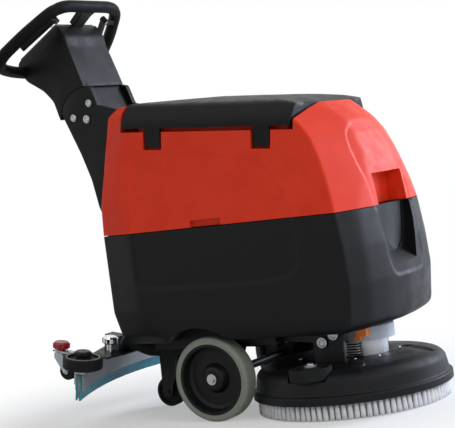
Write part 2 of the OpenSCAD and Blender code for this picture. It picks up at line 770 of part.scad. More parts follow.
// Everything on the operator's face: x runs down the face, z stands off it.
face_run = panel_top - panel_low;
face_deg = atan2(face_run[1], face_run[0]);
module on_face() {
    translate([panel_top[0], 0, panel_top[1]]) rotate([0, 180 - face_deg, 0])
        mirror([0, 0, 1]) children();
}
face_rim = 12;
pocket_t = 26;
module column() {
    color(black) difference() {
        union() {
            difference() {
                side_slab(column_side, -column_half_w, column_half_w);
                y_rod(tilt_x, tilt_z, seam_r + side_gap / 2, -far, far);
            }
            intersection() {
                union() {
                    y_rod(tilt_x, tilt_z, tongue_r, -tongue_half_w, tongue_half_w);
                    side_slab(tongue_side, -tongue_half_w, tongue_half_w);
                }
                side_slab(tongue_limit, -far, far);
            }
        }
        y_rod(tilt_x, tilt_z, tilt_pin_r + run_gap, -far, far);
        on_face() block([face_rim, -column_half_w + face_rim, -pocket_t],
            [norm(face_run) - face_rim, column_half_w - face_rim, panel_t]);
        side_slab(pocket_side, -column_half_w + face_rim, column_half_w - face_rim);
    }
}

panel_t = 4;
button_r = 11;
key_r = 7;
control_s = 40;
control_y = 42;
module control_panel() {
    color("#2a2c30") on_face() difference() {
        block([6, -column_half_w + 8, 0],
            [norm(face_run) - 8, column_half_w - 8, panel_t]);
        z_rod(control_s, control_y, button_r - 3 + run_gap, -1, panel_t + 1);
        z_rod(control_s, -control_y, key_r + run_gap, -1, panel_t + 1);
    }
}
button_travel = 4;
module stop_button() {
    top = panel_t + button_travel + 2;
    color("#c8201c") on_face() {
        z_rod(control_s, control_y, button_r - 3, -button_travel, top);
        translate([control_s, control_y, top]) rotate_extrude($fn = 64)
            polygon([[0, -tiny], [button_r, -tiny], [button_r + 3, 3], [button_r + 2, 8],
            [button_r - 4, 11], [0, 12]]);
    }
}
module key() {
    color(steel) on_face() {
        z_rod(control_s, -control_y, key_r, -8, panel_t + 3);
        block([control_s - 1, -control_y - 8, panel_t + 3 - tiny],
            [control_s + 1, -control_y + 8, panel_t + 22]);
    }
}

// ---------------------------------------------------------------- handle loop
// The loop is drawn in its own sloping plane: s runs down from the top bar.
bar_x = head_x + 25;
loop_deg = 38.7;
function in_loop(s, y) = [bar_x - s * cos(loop_deg), y, top_bar_z - s * sin(loop_deg)];
loop_end_y = column_half_w - 8;
loop_half = [[0, 0], [0, 50], [1, 85], [8, 113], [26, 137], [60, 158],
    [100, 179], [140, loop_half_w - 8], [165, loop_half_w], [188, loop_half_w - 2],
    [206, loop_half_w - 16], [217, loop_half_w - 42], [224, loop_half_w - 75],
    [228, loop_end_y + 20], [230, loop_end_y]];

// A smooth curve through the points p, sampled at n + 1 even steps.
function smooth(p, n) = [for (i = [0:n]) let (t = i * (len(p) - 1) / n,
    k = min(floor(t), len(p) - 2), f = t - k, a = p[max(k - 1, 0)], b = p[k],
    c = p[k + 1], d = p[min(k + 2, len(p) - 1)])
    0.5 * (2 * b + (c - a) * f + (2 * a - 5 * b + 4 * c - d) * f * f
        + (3 * b - a - 3 * c + d) * f * f * f)];
half_loop = smooth(loop_half, 28);
loop_points = concat(
    [for (i = [len(half_loop) - 1:-1:1]) in_loop(half_loop[i][0], -half_loop[i][1])],
    [for (p = half_loop) in_loop(p[0], p[1])]);
lever_y = 104;
lever_s = 44;
lever_len = 108;
lever_half_t = 7;
lever_pin_r = 3;
lever_deg = atan2(loop_half_w - 157, 98);
lug_t = 4;
module in_loop_plane() {
    translate([bar_x, 0, top_bar_z]) rotate([0, -loop_deg, 0]) mirror([1, 0, 0]) children();
}
module handle_loop() {
    color(black) {
        swept_tube(loop_points, [for (p = loop_points) grip_r], 12, [0, 0, 1]);
        in_loop_plane() block([6, -20, -9], [62, 20, 9]);
        in_loop_plane() mirrored() {
            block([lever_s - 7, lever_y - 7, -lever_half_t - side_gap - lug_t],
                [lever_s + 7, lever_y + 42, -lever_half_t - side_gap]);
            z_rod(lever_s, lever_y, lever_pin_r, -lever_half_t - side_gap - tiny,
                lever_half_t + 2);
        }
    }
}

// A trigger lever inside the grip, turning on its pin.
module trigger() {
    color("#24262a") in_loop_plane() difference() {
        translate([lever_s, lever_y, 0]) rotate([0, 0, lever_deg]) {
            block([0, -5, -lever_half_t], [lever_len, 5, lever_half_t]);
            z_rod(0, 0, 8, -lever_half_t, lever_half_t);
            z_rod(lever_len, 0, 5, -lever_half_t, lever_half_t);
        }
        z_rod(lever_s, lever_y, lever_pin_r + run_gap, -far, far);
    }
}
module trigger_left() trigger();
module trigger_right() mirror([0, 1, 0]) trigger();

// ---------------------------------------------------------------- brush deck
rim_z = bristle_show + rim_h;
roller_y = -deck_r + bumper_r - 5.4;
roller_z = deck_top_z - 24;
roller_pin_r = 8;
plate_z = bristle_show + 15;
shaft_r = 10;
hub_r = 24;
gear_h = 36;
gear_z = deck_top_z + gear_h;
motor_top_z = gear_z + 39;
module deck_shroud() {
    r = deck_r;
    z = deck_top_z;
    t = deck_wall;
    color(black) {
        difference() {
            translate([brush_x, 0, 0]) rotate_extrude($fn = 180) polygon([[hub_r + 6, z],
                [r - 102, z], [r - 45, z - 5], [r - 25, z - 11], [r - 13, z - 23],
                [r - 7, rim_z + 2], [r, rim_z], [r, bristle_show], [r - t, bristle_show],
                [r - t, rim_z - 3], [r - 7 - t, rim_z + 2], [r - 13 - t, z - 24],
                [r - 26 - t, z - 11 - t], [r - 46, z - 5 - t], [r - 102, z - t],
                [hub_r + 6, z - t]]);
            z_rod(brush_x, roller_y, bumper_r + 4, roller_z - 2, far);
        }
        intersection() {
            z_rod(brush_x, roller_y, bumper_r + 6, roller_z - 2 - deck_wall, roller_z - 2);
            z_rod(brush_x, 0, r - 12, 0, far);
        }
    }
}

// The bumper roller at the right-hand side, and the screw that it turns on.
module bumper_roller() {
    r = bumper_r;
    color("#1f2023") translate([brush_x, roller_y, roller_z]) rotate_extrude($fn = 96)
        polygon([[roller_pin_r + run_gap, 0], [r - 3, 0], [r, 3], [r, bumper_h - 3],
            [r - 3, bumper_h], [r - 9, bumper_h], [r - 11, bumper_h - 5], [22, bumper_h - 5],
            [18, bumper_h], [roller_pin_r + run_gap, bumper_h]]);
}
module bumper_screw() {
    color("#2a2c30") {
        z_rod(brush_x, roller_y, roller_pin_r, roller_z - 2, roller_z + bumper_h + 1);
        z_rod(brush_x, roller_y, 15, roller_z + bumper_h + side_gap, roller_z + bumper_h + 6);
    }
}

// The gear housing is a tangent pair of round bosses, bored for the brush shaft.
module gear_housing() {
    r0 = 42;
    r1 = 46;
    c = (r0 - r1) / motor_ahead;
    s = sqrt(1 - c * c);
    color("#a9adb1") difference() {
        union() {
            z_rod(brush_x, 0, r0, deck_top_z, gear_z);
            z_rod(motor_x, 0, r1, deck_top_z, gear_z);
            translate([0, 0, deck_top_z]) linear_extrude(height = gear_h)
                polygon([[brush_x + r0 * c, r0 * s], [brush_x + r0 * c, -r0 * s],
                [motor_x + r1 * c, -r1 * s], [motor_x + r1 * c, r1 * s]]);
        }
        z_rod(brush_x, 0, shaft_r + run_gap, deck_top_z - 1, deck_top_z + 24);
    }
}
module brush_motor() {
    h = motor_top_z - gear_z;
    color("#2a2d31") translate([motor_x, 0, gear_z]) rotate_extrude($fn = 96)
        polygon([[0, 0], [motor_r, 0], [motor_r, h - 8], [motor_r - 8, h],
            [0, h]]);
}

// Two plates that stand on the deck and carry the lift arms.
module deck_brackets() {
    x0 = brush_x - 27;
    x1 = brush_x + 49;
    color("#2f3236") mirrored() {
        block([x0, arm_out, deck_top_z], [x1, arm_out + plate_t, tank_floor_z + 3]);
        block([x0, arm_out - arm_t - 8, deck_top_z], [x1, arm_out + tiny, deck_top_z + 4]);
        for (p = [[x0 + 25, arm_pivot_z - 11], [x0 + 56, arm_pivot_z + 6]])
            y_rod(p[0], p[1], 8, arm_out + plate_t - tiny, arm_out + plate_t + 4);
    }
}

// The lift arms, joined by a cross tube.
module lift_arms() {
    x = arm_pivot_x;
    z = arm_pivot_z;
    end = brush_x + 45;
    color("#33363b") difference() {
        union() {
            mirrored() {
                side_slab([[x, z - 6], [x + 133, z - 6], [x + 190, z - 12], [end, z - 12],
                    [end, z + 14], [x + 190, z + 12], [x + 133, z + 9], [x, z + 9]],
                    arm_out - arm_t, arm_out);
                y_rod(x, z, 13, arm_out - arm_t, arm_out);
            }
            y_rod(x + 143, z - 2, 7, -arm_out + tiny, arm_out - tiny);
        }
        mirrored() y_rod(x, z, pin_r + run_gap, 0, far);
    }
}
module feed_clip() {
    x = motor_x + 10;
    y = -motor_r + 1;
    color("#f07818") {
        block([x, y - clip_out, gear_z + 14], [x + clip_l, y + 10, motor_top_z - 4]);
        block([x - 6, y - clip_out, gear_z + 6], [x + 10, y + 10, gear_z + 14 + tiny]);
    }
}
module brush_block() {
    r = bristle_r - 5;
    color("#8f9498") translate([brush_x, 0, 0]) rotate_extrude($fn = 144)
        polygon([[0, bristle_show], [r, bristle_show], [r, plate_z - 6], [r - 5, plate_z],
            [hub_r + 36, plate_z], [hub_r, plate_z + 8], [hub_r, deck_top_z - 4],
            [shaft_r, deck_top_z - 4], [shaft_r, deck_top_z + 22], [0, deck_top_z + 22]]);
}
bristle_in = 120;
module bristles() {
    color("#e9ebee") translate([brush_x, 0, 0]) rotate_extrude($fn = 144)
        polygon([[bristle_in, 0], [bristle_r, 0], [bristle_r - 3, bristle_show],
            [bristle_in + 3, bristle_show]]);
}

// ---------------------------------------------------------------- squeegee
// It is drawn lowered, with its blades on the floor, and then lifted on its pivot.
module lifted() {
    translate([pivot_x, 0, pivot_z]) rotate([0, lift_deg, 0])
        translate([-pivot_x, 0, -pivot_z]) children();
}
function lift_point(p) = let (x = p[0] - pivot_x, z = p[2] - pivot_z)
    [pivot_x + x * cos(lift_deg) + z * sin(lift_deg), p[1],
    pivot_z - x * sin(lift_deg) + z * cos(lift_deg)];

// Both blades are arcs: the rear one is bent more, so that their ends come together.
front_x = axle_x - squeegee_behind;
rear_x = front_x - blade_gap;
end_gap = 10;
front_rise = squeegee_curve - sqrt(pow(squeegee_curve, 2) - pow(squeegee_half, 2));
rear_rise = front_rise + blade_gap - end_gap;
rear_curve = (pow(squeegee_half, 2) + pow(rear_rise, 2)) / (2 * rear_rise);
function front_arc(y) = front_x + squeegee_curve - sqrt(pow(squeegee_curve, 2) - y * y);
function rear_arc(y) = rear_x + rear_curve - sqrt(pow(rear_curve, 2) - y * y);
module disc_behind(x, r, z0, z1) {
    translate([x + r, 0, z0]) cylinder(h = z1 - z0, r = r, $fn = 720);
}

// What lies between an arc moved forward by f and the rear arc moved back by b.
module crescent(f, b, half_w, z0, z1) {
    intersection() {
        difference() {
            translate([-b, 0, 0]) disc_behind(rear_x, rear_curve, z0, z1);
            translate([f, 0, 0]) disc_behind(front_x, squeegee_curve, z0 - 1, z1 + 1);
        }
        block([-far, -half_w, z0], [0, half_w, z1]);
    }
}
blade_h = 62;
body_z0 = 36;
body_z1 = 72;
module blade(x, r, grow) {
    t = blade_t / 2;
    intersection() {
        difference() {
            translate([x + r, 0, -grow]) cylinder(h = blade_h + grow, r = r + t, $fn = 720);
            translate([x + r, 0, -1 - grow]) cylinder(h = far, r = r - t, $fn = 720);
        }
        block([-far, -squeegee_half - grow, -grow], [0, squeegee_half + grow, blade_h]);
    }
}
module front_blade() {
    color("#3a8fa0") lifted() blade(front_x, squeegee_curve, 0);
}
module rear_blade() {
    color("#3a8fa0") lifted() blade(rear_x, rear_curve, 0);
}
socket_x = (front_arc(hose_y) + rear_arc(hose_y)) / 2;
module squeegee_body() {
    color("#8f9396") lifted() difference() {
        crescent(11, 9, squeegee_half - 6, body_z0, body_z1);
        blade(front_x, squeegee_curve, 1);
        blade(rear_x, rear_curve, 1);
        intersection() {
            crescent(-8, -8, squeegee_half - 60, body_z0 - 1, blade_h);
            block([-far, -far, 0], [0, far, blade_h]);
        }
        z_rod(socket_x, hose_y, hose_bore_r, 0, far);
    }
}
cover_plate_t = 4;
cover_top = body_z1 + cover_plate_t;
stud_r = 4;
knob_x = front_x + 16;
knob_y = 150;
module squeegee_cover() {
    x0 = rear_x - 10;
    color("#1e2023") lifted() {
        difference() {
            translate([0, 0, body_z1]) linear_extrude(height = cover_plate_t)
                polygon([[x0, -90], [x0 + 26, -190], [front_x + 38, -190], [front_x + 46, -110],
                [front_x + 46, 110], [front_x + 38, 190], [x0 + 26, 190], [x0, 90]]);
            z_rod(socket_x, hose_y, hose_bore_r, 0, far);
        }
        mirrored() z_rod(knob_x, knob_y, stud_r, cover_top - tiny, cover_top + 34);
    }
}

// The two trailing arms, from the pivot shaft to the cover.
squeegee_arm_y = 70;
squeegee_arm_t = 8;
module squeegee_arms() {
    x = pivot_x;
    z = pivot_z;
    y = squeegee_arm_y;
    foot = front_x + 53;
    color("#2a2c30") lifted() difference() {
        union() {
            mirrored() {
                side_slab([[x, z - 9], [foot, cover_top + 13], [foot - 10, cover_top],
                    [foot - 85, cover_top], [foot - 85, cover_top + 10],
                    [foot, cover_top + 31], [x, z + 9]], y, y + squeegee_arm_t);
                y_rod(x, z, 14, y, y + squeegee_arm_t);
                block([foot - 78, y - 14, cover_top], [foot - 15, y + tiny, cover_top + 4]);
            }
            y_rod(x - 220, z - 33, 6, -y - tiny, y + tiny);
        }
        y_rod(x, z, pin_r + run_gap, -far, far);
    }
}

// Rollers at both ends, each held down by a star knob on a fixed stud.
end_x = front_arc(squeegee_half - 19);
end_y = squeegee_half - 18.5;
end_stud_r = 8;
module end_roller() {
    r = end_roller_r;
    h = end_roller_h;
    color("#26272a") lifted() translate([end_x, end_y, cover_top]) rotate_extrude($fn = 96)
        polygon([[end_stud_r + run_gap, 0], [r - 3, 0], [r, 3], [r, h - 3], [r - 3, h],
            [r - 8, h], [r - 10, h - 6], [20, h - 6], [17, h], [end_stud_r + run_gap, h]]);
}
module end_roller_left() end_roller();
module end_roller_right() mirror([0, 1, 0]) end_roller();

// A round knob with scalloped sides.
module star_knob(r, h, lobes) {
    difference() {
        rotate_extrude($fn = 64) polygon([[0, 0], [r - 4, 0], [r, 3], [r, h - 4], [r - 5, h],
            [0, h]]);
        for (i = [0:lobes - 1]) rotate([0, 0, i * 360 / lobes])
            z_rod(r + 3.5, 0, 6, -1, h + 1);
    }
}
module end_knobs() {
    color("#1f2023") lifted() mirrored() {
        z_rod(end_x, end_y, end_stud_r, body_z1, cover_top + end_roller_h + 1 + tiny);
        translate([end_x, end_y, cover_top + end_roller_h + side_gap])
            star_knob(21.5, 13, 6);
    }
}
module chrome_knob() {
    z0 = cover_top + 0.3;
    lifted() difference() {
        union() {
            color(black) z_rod(knob_x, knob_y, 8, z0, z0 + 26);
            color("#d7dadd") translate([knob_x, knob_y, z0 + 25]) star_knob(20, 18, 3);
        }
        z_rod(knob_x, knob_y, stud_r + run_gap, 0, cover_top + 36);
    }
}
module chrome_knob_left() chrome_knob();
module chrome_knob_right() mirror([0, 1, 0]) chrome_knob();

// ---------------------------------------------------------------- small wheels
// A cranked plate behind each end of the squeegee carries a small caster.
spindle_x = rear_x - 17;
spindle_y = squeegee_half - 62;
spindle_r = 5;
shelf_z = cover_top + 16;
shelf_t = 4;
small_trail = 24;
small_z = 48;
module wheel_brackets() {
    y0 = spindle_y - 13;
    y1 = spindle_y + 12;
    riser = spindle_x + 52;
    color("#a0a4a8") lifted() mirrored() difference() {
        union() {
            block([riser, y0, body_z1], [riser + 36, y1, cover_top - 1]);
            block([riser, y0, body_z1], [riser + 3.5, y1, shelf_z + shelf_t]);
            block([spindle_x - 18, y0, shelf_z], [riser + 1, y1, shelf_z + shelf_t]);
        }
        z_rod(spindle_x, spindle_y, spindle_r + run_gap, 0, far);
    }
}
module red_knob() {
    z = shelf_z + shelf_t + 4;
    color("#8e0f18") lifted() {
        z_rod(spindle_x, spindle_y, spindle_r, shelf_z - 12, z + tiny);
        z_rod(spindle_x, spindle_y, 9, shelf_z + shelf_t + 0.3, z + tiny);
        translate([spindle_x, spindle_y, z]) star_knob(21, 17, 7);
    }
}
module red_knob_left() red_knob();
module red_knob_right() mirror([0, 1, 0]) red_knob();
module small_fork() {
    x = spindle_x;
    w = 10;
    color("#9a9ea2") lifted() translate([0, spindle_y, 0]) difference() {
        union() {
            z_rod(x, 0, 14, shelf_z - 16, shelf_z - 0.5);
            mirrored() side_slab([[x - 12, shelf_z - 2], [x + 12, shelf_z - 2],
                [x + small_trail + 7, small_z], [x + small_trail + 4, small_z - 7],
                [x + small_trail - 6, small_z - 5], [x - 12, shelf_z - 14]], w, w + 2.5);
            block([x - 12, -w - tiny, shelf_z - 6], [x + 10, w + tiny, shelf_z - 2]);
            y_rod(x + small_trail, small_z, 4, -w - 4, w + 4);
        }
        z_rod(x, 0, spindle_r + run_gap, 0, far);
    }
}
module small_fork_left() small_fork();
module small_fork_right() mirror([0, 1, 0]) small_fork();
module small_wheel() {
    r = small_wheel_r;
    color("#2b2d30") lifted() translate([spindle_x + small_trail, spindle_y, small_z])
        rotate([90, 0, 0]) rotate_extrude($fn = 72) polygon([[4 + run_gap, -9], [r - 7, -9],
            [r - 5, -8], [r - 2, -9], [r, -6], [r, 6], [r - 2, 9], [r - 5, 8], [r - 7, 9],
            [4 + run_gap, 9]]);
}
module small_wheel_left() small_wheel();
module small_wheel_right() mirror([0, 1, 0]) small_wheel();

// ---------------------------------------------------------------- suction hose
socket_front = socket_x + 34;
socket_z = cover_top + 19;
module suction_socket() {
    color("#2a2c30") lifted() difference() {
        union() {
            block([socket_x - 18, hose_y - 17, cover_top], [socket_front - 8, hose_y + 17,
                socket_z + 17]);
            translate([socket_front - 9, hose_y, socket_z]) rotate([0, 90, 0])
                cylinder(h = 9, r = hose_r, $fn = 64);
        }
        z_rod(socket_x, hose_y, hose_bore_r, 0, socket_z);
        translate([socket_x, hose_y, socket_z]) rotate([0, 90, 0])
            cylinder(h = far, r = hose_bore_r, $fn = 64);
        translate([socket_x, hose_y, socket_z]) sphere(r = hose_bore_r, $fn = 64);
    }
}

// The hose runs straight out of the socket and straight into the spigot.
hose_start = lift_point([socket_front, hose_y, socket_z]);
hose_dir = [cos(lift_deg), 0, -sin(lift_deg)];
hose_end = [spigot_x, hose_y, spigot_z];
hose_straight = 2 * hose_r;
hose_ribs = 24;
hose_sides = 8;
function bend(a, u, b, v, t) = let (k = norm(b - a)) (2 * t * t * t - 3 * t * t + 1) * a
    + (t * t * t - 2 * t * t + t) * k * u + (3 * t * t - 2 * t * t * t) * b
    + (t * t * t - t * t) * k * v;
function hose_at(t) = t < 0.25 ? hose_start + hose_dir * hose_straight * t * 4
    : t > 0.75 ? hose_end + [hose_straight * (t - 1) * 4, 0, 0]
    : bend(hose_start + hose_dir * hose_straight, hose_dir,
        hose_end - [hose_straight, 0, 0], [1, 0, 0], t * 2 - 0.5);
module suction_hose() {
    n = 2 * hose_ribs;
    p = [for (i = [0:n]) hose_at(i / n)];
    side = hose_sides;
    turned = [for (i = [0:n]) let (t = i == 0 ? hose_dir : i == n ? [1, 0, 0] : along(p, i))
        [cross(t, [0, -1, 0]), [0, -1, 0]]];
    function ring(i, r) = [for (k = [0:side - 1]) let (a = 360 * k / side)
        p[i] + r * (cos(a) * turned[i][0] + sin(a) * turned[i][1])];
    outer = [for (i = [0:n]) for (q = ring(i, i % 2 == 0 ? hose_r : hose_r - 2)) q];
    inner = [for (i = [0:n]) for (q = ring(i, hose_bore_r)) q];
    m = len(outer);
    walls = [for (i = [0:n - 1]) for (k = [0:side - 1]) for (f = [0:3])
        let (a = i * side + k, b = i * side + (k + 1) % side)
        f == 0 ? [a, b, b + side] : f == 1 ? [a, b + side, a + side]
        : f == 2 ? [m + a, m + b + side, m + b] : [m + a, m + a + side, m + b + side]];
    last = n * side;
    ends = [for (k = [0:side - 1]) for (f = [0:3]) let (j = (k + 1) % side)
        f == 0 ? [k, m + k, m + j] : f == 1 ? [k, m + j, j]
        : f == 2 ? [last + k, m + last + j, m + last + k] : [last + k, last + j, m + last + j]];
    color("#1b1c1f") polyhedron(points = concat(outer, inner), faces = concat(walls, ends));
}

chassis_frame();
solution_tank();
solution_cover();
fill_cap();
battery_left();
battery_right();
controller();
axle();
hub_bolts();
caster_plate();
rim_left();
tyre_left();
rim_right();
tyre_right();
caster_fork();
caster_wheel();
recovery_tank();
vacuum_motor();
float_filter();
column_bracket();
column_screws();
lid();
lid_seal();
column();
handle_loop();
control_panel();
trigger_left();
trigger_right();
stop_button();
key();
lift_arms();
deck_shroud();
gear_housing();
brush_motor();
deck_brackets();
feed_clip();
brush_block();
bristles();
bumper_roller();
bumper_screw();
squeegee_arms();
squeegee_cover();
squeegee_body();
front_blade();
rear_blade();
end_roller_left();
end_roller_right();
end_knobs();
chrome_knob_left();
chrome_knob_right();
wheel_brackets();
red_knob_left();
red_knob_right();
small_fork_left();
small_fork_right();
small_wheel_left();
small_wheel_right();
suction_socket();
suction_hose();
suction_duct();
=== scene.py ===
"""Walk-behind floor scrubber: finishes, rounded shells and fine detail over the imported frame."""
import math

import bmesh
import bpy
import numpy as np
from mathutils import Matrix, Vector

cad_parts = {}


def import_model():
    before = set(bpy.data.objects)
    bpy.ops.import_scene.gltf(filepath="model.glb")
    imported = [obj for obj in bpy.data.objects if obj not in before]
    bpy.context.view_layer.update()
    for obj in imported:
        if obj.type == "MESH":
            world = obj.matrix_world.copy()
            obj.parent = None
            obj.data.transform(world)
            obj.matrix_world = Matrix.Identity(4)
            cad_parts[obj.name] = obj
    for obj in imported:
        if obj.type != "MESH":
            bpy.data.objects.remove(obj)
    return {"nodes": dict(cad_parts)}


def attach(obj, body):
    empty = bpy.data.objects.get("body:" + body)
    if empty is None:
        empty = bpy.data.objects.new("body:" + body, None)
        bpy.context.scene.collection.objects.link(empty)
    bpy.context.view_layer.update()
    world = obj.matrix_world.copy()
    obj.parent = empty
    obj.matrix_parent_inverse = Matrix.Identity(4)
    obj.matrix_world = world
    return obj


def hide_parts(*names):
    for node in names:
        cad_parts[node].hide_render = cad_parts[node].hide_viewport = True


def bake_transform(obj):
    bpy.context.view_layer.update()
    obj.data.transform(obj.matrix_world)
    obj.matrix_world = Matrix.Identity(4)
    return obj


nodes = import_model()["nodes"]
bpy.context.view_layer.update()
scene = bpy.context.scene
MM = 0.001


def linked(name, data):
    """A new object in the scene for a mesh, a camera or a lamp."""
    made = bpy.data.objects.new(name, data)
    scene.collection.objects.link(made)
    return made


# ------------------------------ camera
AZIMUTH = math.radians(32.27)
ELEVATION = math.radians(2.3)
ROLL = math.radians(7.64)
DISTANCE = 3.506
TARGET = Vector((0.004, 0.0, 0.472))
FOCAL_PX = 1427.0
IMAGE_W = 455
SENSOR_MM = 36.0


def make_camera():
    """The camera looks at TARGET from DISTANCE metres away, turned a little about its own axis."""
    back = Vector((math.sin(AZIMUTH) * math.cos(ELEVATION),
                   -math.cos(AZIMUTH) * math.cos(ELEVATION), math.sin(ELEVATION)))
    right = (-back).cross(Vector((0, 0, 1))).normalized()
    above = right.cross(-back)
    across = right * math.cos(ROLL) - above * math.sin(ROLL)
    up = above * math.cos(ROLL) + right * math.sin(ROLL)
    data = bpy.data.cameras.new("camera")
    data.sensor_width = SENSOR_MM
    data.lens = FOCAL_PX * SENSOR_MM / IMAGE_W
    data.clip_end = 50.0
    camera = linked("camera", data)
    turn = Matrix((across, up, back)).transposed().to_4x4()
    camera.matrix_world = Matrix.Translation(TARGET + back * DISTANCE) @ turn
    scene.camera = camera


make_camera()


# ------------------------------ materials
def linear(hex_colour):
    """An sRGB hex colour as linear RGBA."""
    parts = [int(hex_colour[i:i + 2], 16) / 255 for i in (1, 3, 5)]
    return tuple(c / 12.92 if c <= 0.04045 else ((c + 0.055) / 1.055) ** 2.4 for c in parts) + (1.0,)


def add(tree, kind, inputs=None, **settings):
    """Add a node; an input is given by its socket's name or number, as a value or another socket."""
    made = tree.nodes.new(kind)
    for name, value in settings.items():
        setattr(made, name, value)
    for name, value in (inputs or {}).items():
        if isinstance(value, bpy.types.NodeSocket):
            tree.links.new(value, made.inputs[name])
        else:
            made.inputs[name].default_value = value
    return made


def blank(name, **shader_values):
    """A new material with a plain Principled shader, and the object coordinates to draw on it."""
    made = bpy.data.materials.new(name)
    made.use_nodes = True
    tree = made.node_tree
    tree.nodes.clear()
    values = {key.replace("_", " "): value for key, value in shader_values.items()}
    shader = add(tree, "ShaderNodeBsdfPrincipled", values)
    add(tree, "ShaderNodeOutputMaterial", {"Surface": shader.outputs["BSDF"]})
    where = add(tree, "ShaderNodeTexCoord").outputs["Object"]
    return made, tree, shader, where


def spots(tree, where, size_mm, low, high, detail=2.0):
    """A soft random value between low and high, with spots about size_mm across."""
    noise = add(tree, "ShaderNodeTexNoise", {
        "Vector": where, "Scale": 1000.0 / size_mm, "Detail": detail, "Roughness": 0.55})
    return add(tree, "ShaderNodeMapRange", {
        "Value": noise.outputs["Fac"], "From Min": 0.32, "From Max": 0.68,
        "To Min": low, "To Max": high}).outputs["Result"]


def between(tree, colour_a, colour_b, factor):
    """A colour that goes from one hex colour to another with factor."""
    mix = add(tree, "ShaderNodeMix", {0: factor, 6: linear(colour_a), 7: linear(colour_b)}, data_type="RGBA")
    return mix.outputs[2]


def bumped(tree, shader, height, depth_mm):
    """Let the surface rise and fall by depth_mm with a value."""
    bump = add(tree, "ShaderNodeBump", {"Height": height, "Distance": depth_mm * MM, "Strength": 1.0})
    tree.links.new(bump.outputs["Normal"], shader.inputs["Normal"])


def moulded(name, colour, shade, grain_mm, depth_mm, rough, patch_mm=70, **shader_values):
    """Plastic or rubber out of a mould: a fine grain, and a tone and gloss that drift over the surface."""
    made, tree, shader, where = blank(name, **shader_values)
    patches = spots(tree, where, patch_mm, 0.0, 1.0)
    tree.links.new(between(tree, colour, shade, patches), shader.inputs["Base Color"])
    gloss = spots(tree, where, patch_mm * 0.4, rough - 0.05, rough + 0.07)
    tree.links.new(gloss, shader.inputs["Roughness"])
    bumped(tree, shader, spots(tree, where, grain_mm, 0.0, 1.0, detail=3.0), depth_mm)
    return made


def scuffed(name, colour, dust, grain_mm, depth_mm, rough, amount, **shader_values):
    """Plastic or rubber that has been used: thin pale scuffs and dust lie over its own colour."""
    made, tree, shader, where = blank(name, **shader_values)
    stretched = add(tree, "ShaderNodeMapping", {"Vector": where, "Scale": (1.0, 1.0, 6.0)}).outputs["Vector"]
    scratches = add(tree, "ShaderNodeTexNoise", {
        "Vector": stretched, "Scale": 45.0, "Detail": 6.0, "Roughness": 0.7}).outputs["Fac"]
    marks = add(tree, "ShaderNodeMapRange", {
        "Value": scratches, "From Min": 0.6, "From Max": 0.78,
        "To Min": 0.0, "To Max": amount}).outputs["Result"]
    tree.links.new(between(tree, colour, dust, marks), shader.inputs["Base Color"])
    tree.links.new(spots(tree, where, 30, rough - 0.06, rough + 0.08), shader.inputs["Roughness"])
    bumped(tree, shader, spots(tree, where, grain_mm, 0.0, 1.0, detail=3.0), depth_mm)
    return made


def metal(name, colour, shade, rough, grain_mm, stretch=(1.0, 1.0, 1.0)):
    """A bare metal, with a grain that the way it was made has left."""
    made, tree, shader, where = blank(name, Metallic=1.0)
    drawn = add(tree, "ShaderNodeMapping", {"Vector": where, "Scale": stretch}).outputs["Vector"]
    patches = spots(tree, drawn, grain_mm, 0.0, 1.0)
    tree.links.new(between(tree, colour, shade, patches), shader.inputs["Base Color"])
    tree.links.new(spots(tree, drawn, grain_mm, rough - 0.05, rough + 0.08), shader.inputs["Roughness"])
    bumped(tree, shader, spots(tree, drawn, grain_mm, 0.0, 1.0), 0.03)
    return made


# Grains are in millimetres; those of ABS and nylon are drawn coarser than real, so that they show.
# Rotationally moulded polyethylene, red: waxy, with a faint orange-peel skin and soft wide highlights.
red_polyethylene = moulded("red_polyethylene", "#E03A1E", "#D93419", 2.2, 0.10, 0.50,
                           IOR=1.51, Specular_IOR_Level=0.20)
# The same in black: it catches the light as a wide grey-blue sheen, with a few pale scuffs.
black_polyethylene = scuffed("black_polyethylene", "#0B0C0E", "#50565E", 2.0, 0.12, 0.42, 0.05,
                             IOR=1.51, Specular_IOR_Level=0.17)
# Injection-moulded ABS with a fine leather-like texture, on the column: even and nearly black.
black_abs = moulded("black_abs", "#090A0B", "#08090A", 1.2, 0.08, 0.42, IOR=1.53, Specular_IOR_Level=0.16)
# The lid's ABS has a coarser texture, so that it looks a little duller and greyer.
lid_abs = moulded("lid_abs", "#0B0C0D", "#090A0B", 1.4, 0.10, 0.46, IOR=1.53, Specular_IOR_Level=0.14)
# Soft-touch overmoulding on the handle: finer and duller than the column.
grip_foam = moulded("grip_foam", "#090A0B", "#0C0D0F", 0.8, 0.05, 0.55, 40, IOR=1.5, Specular_IOR_Level=0.1)
# Textured ABS of the deck, scuffed pale by the walls it has rubbed along.
deck_abs = scuffed("deck_abs", "#0D0E10", "#5A5F66", 1.6, 0.12, 0.50, 0.13,
                   IOR=1.53, Specular_IOR_Level=0.18)
# Non-marking grey polyurethane on the main wheels: matt, with pale road dust.
grey_polyurethane = scuffed("grey_polyurethane", "#7F857B", "#9FA299", 1.8, 0.12, 0.62, 0.30, IOR=1.5)
# Glass-filled nylon of the rims: dark, with a dry shine.
black_nylon = moulded("black_nylon", "#0A0B0C", "#0E0F11", 1.0, 0.06, 0.42, 30,
                      IOR=1.53, Specular_IOR_Level=0.2)
# Black rubber on rollers, small wheels, seals and the hose: it swallows the light, and dust greys it.
black_rubber = scuffed("black_rubber", "#0E0F10", "#3C3E40", 1.5, 0.10, 0.66, 0.18,
                       IOR=1.52, Specular_IOR_Level=0.2)
# Teal polyurethane squeegee blades, a little translucent at their edges.
teal_urethane = moulded("teal_urethane", "#2E93A8", "#257F93", 3.0, 0.04, 0.34, 25,
                        IOR=1.5, Subsurface_Weight=0.15)
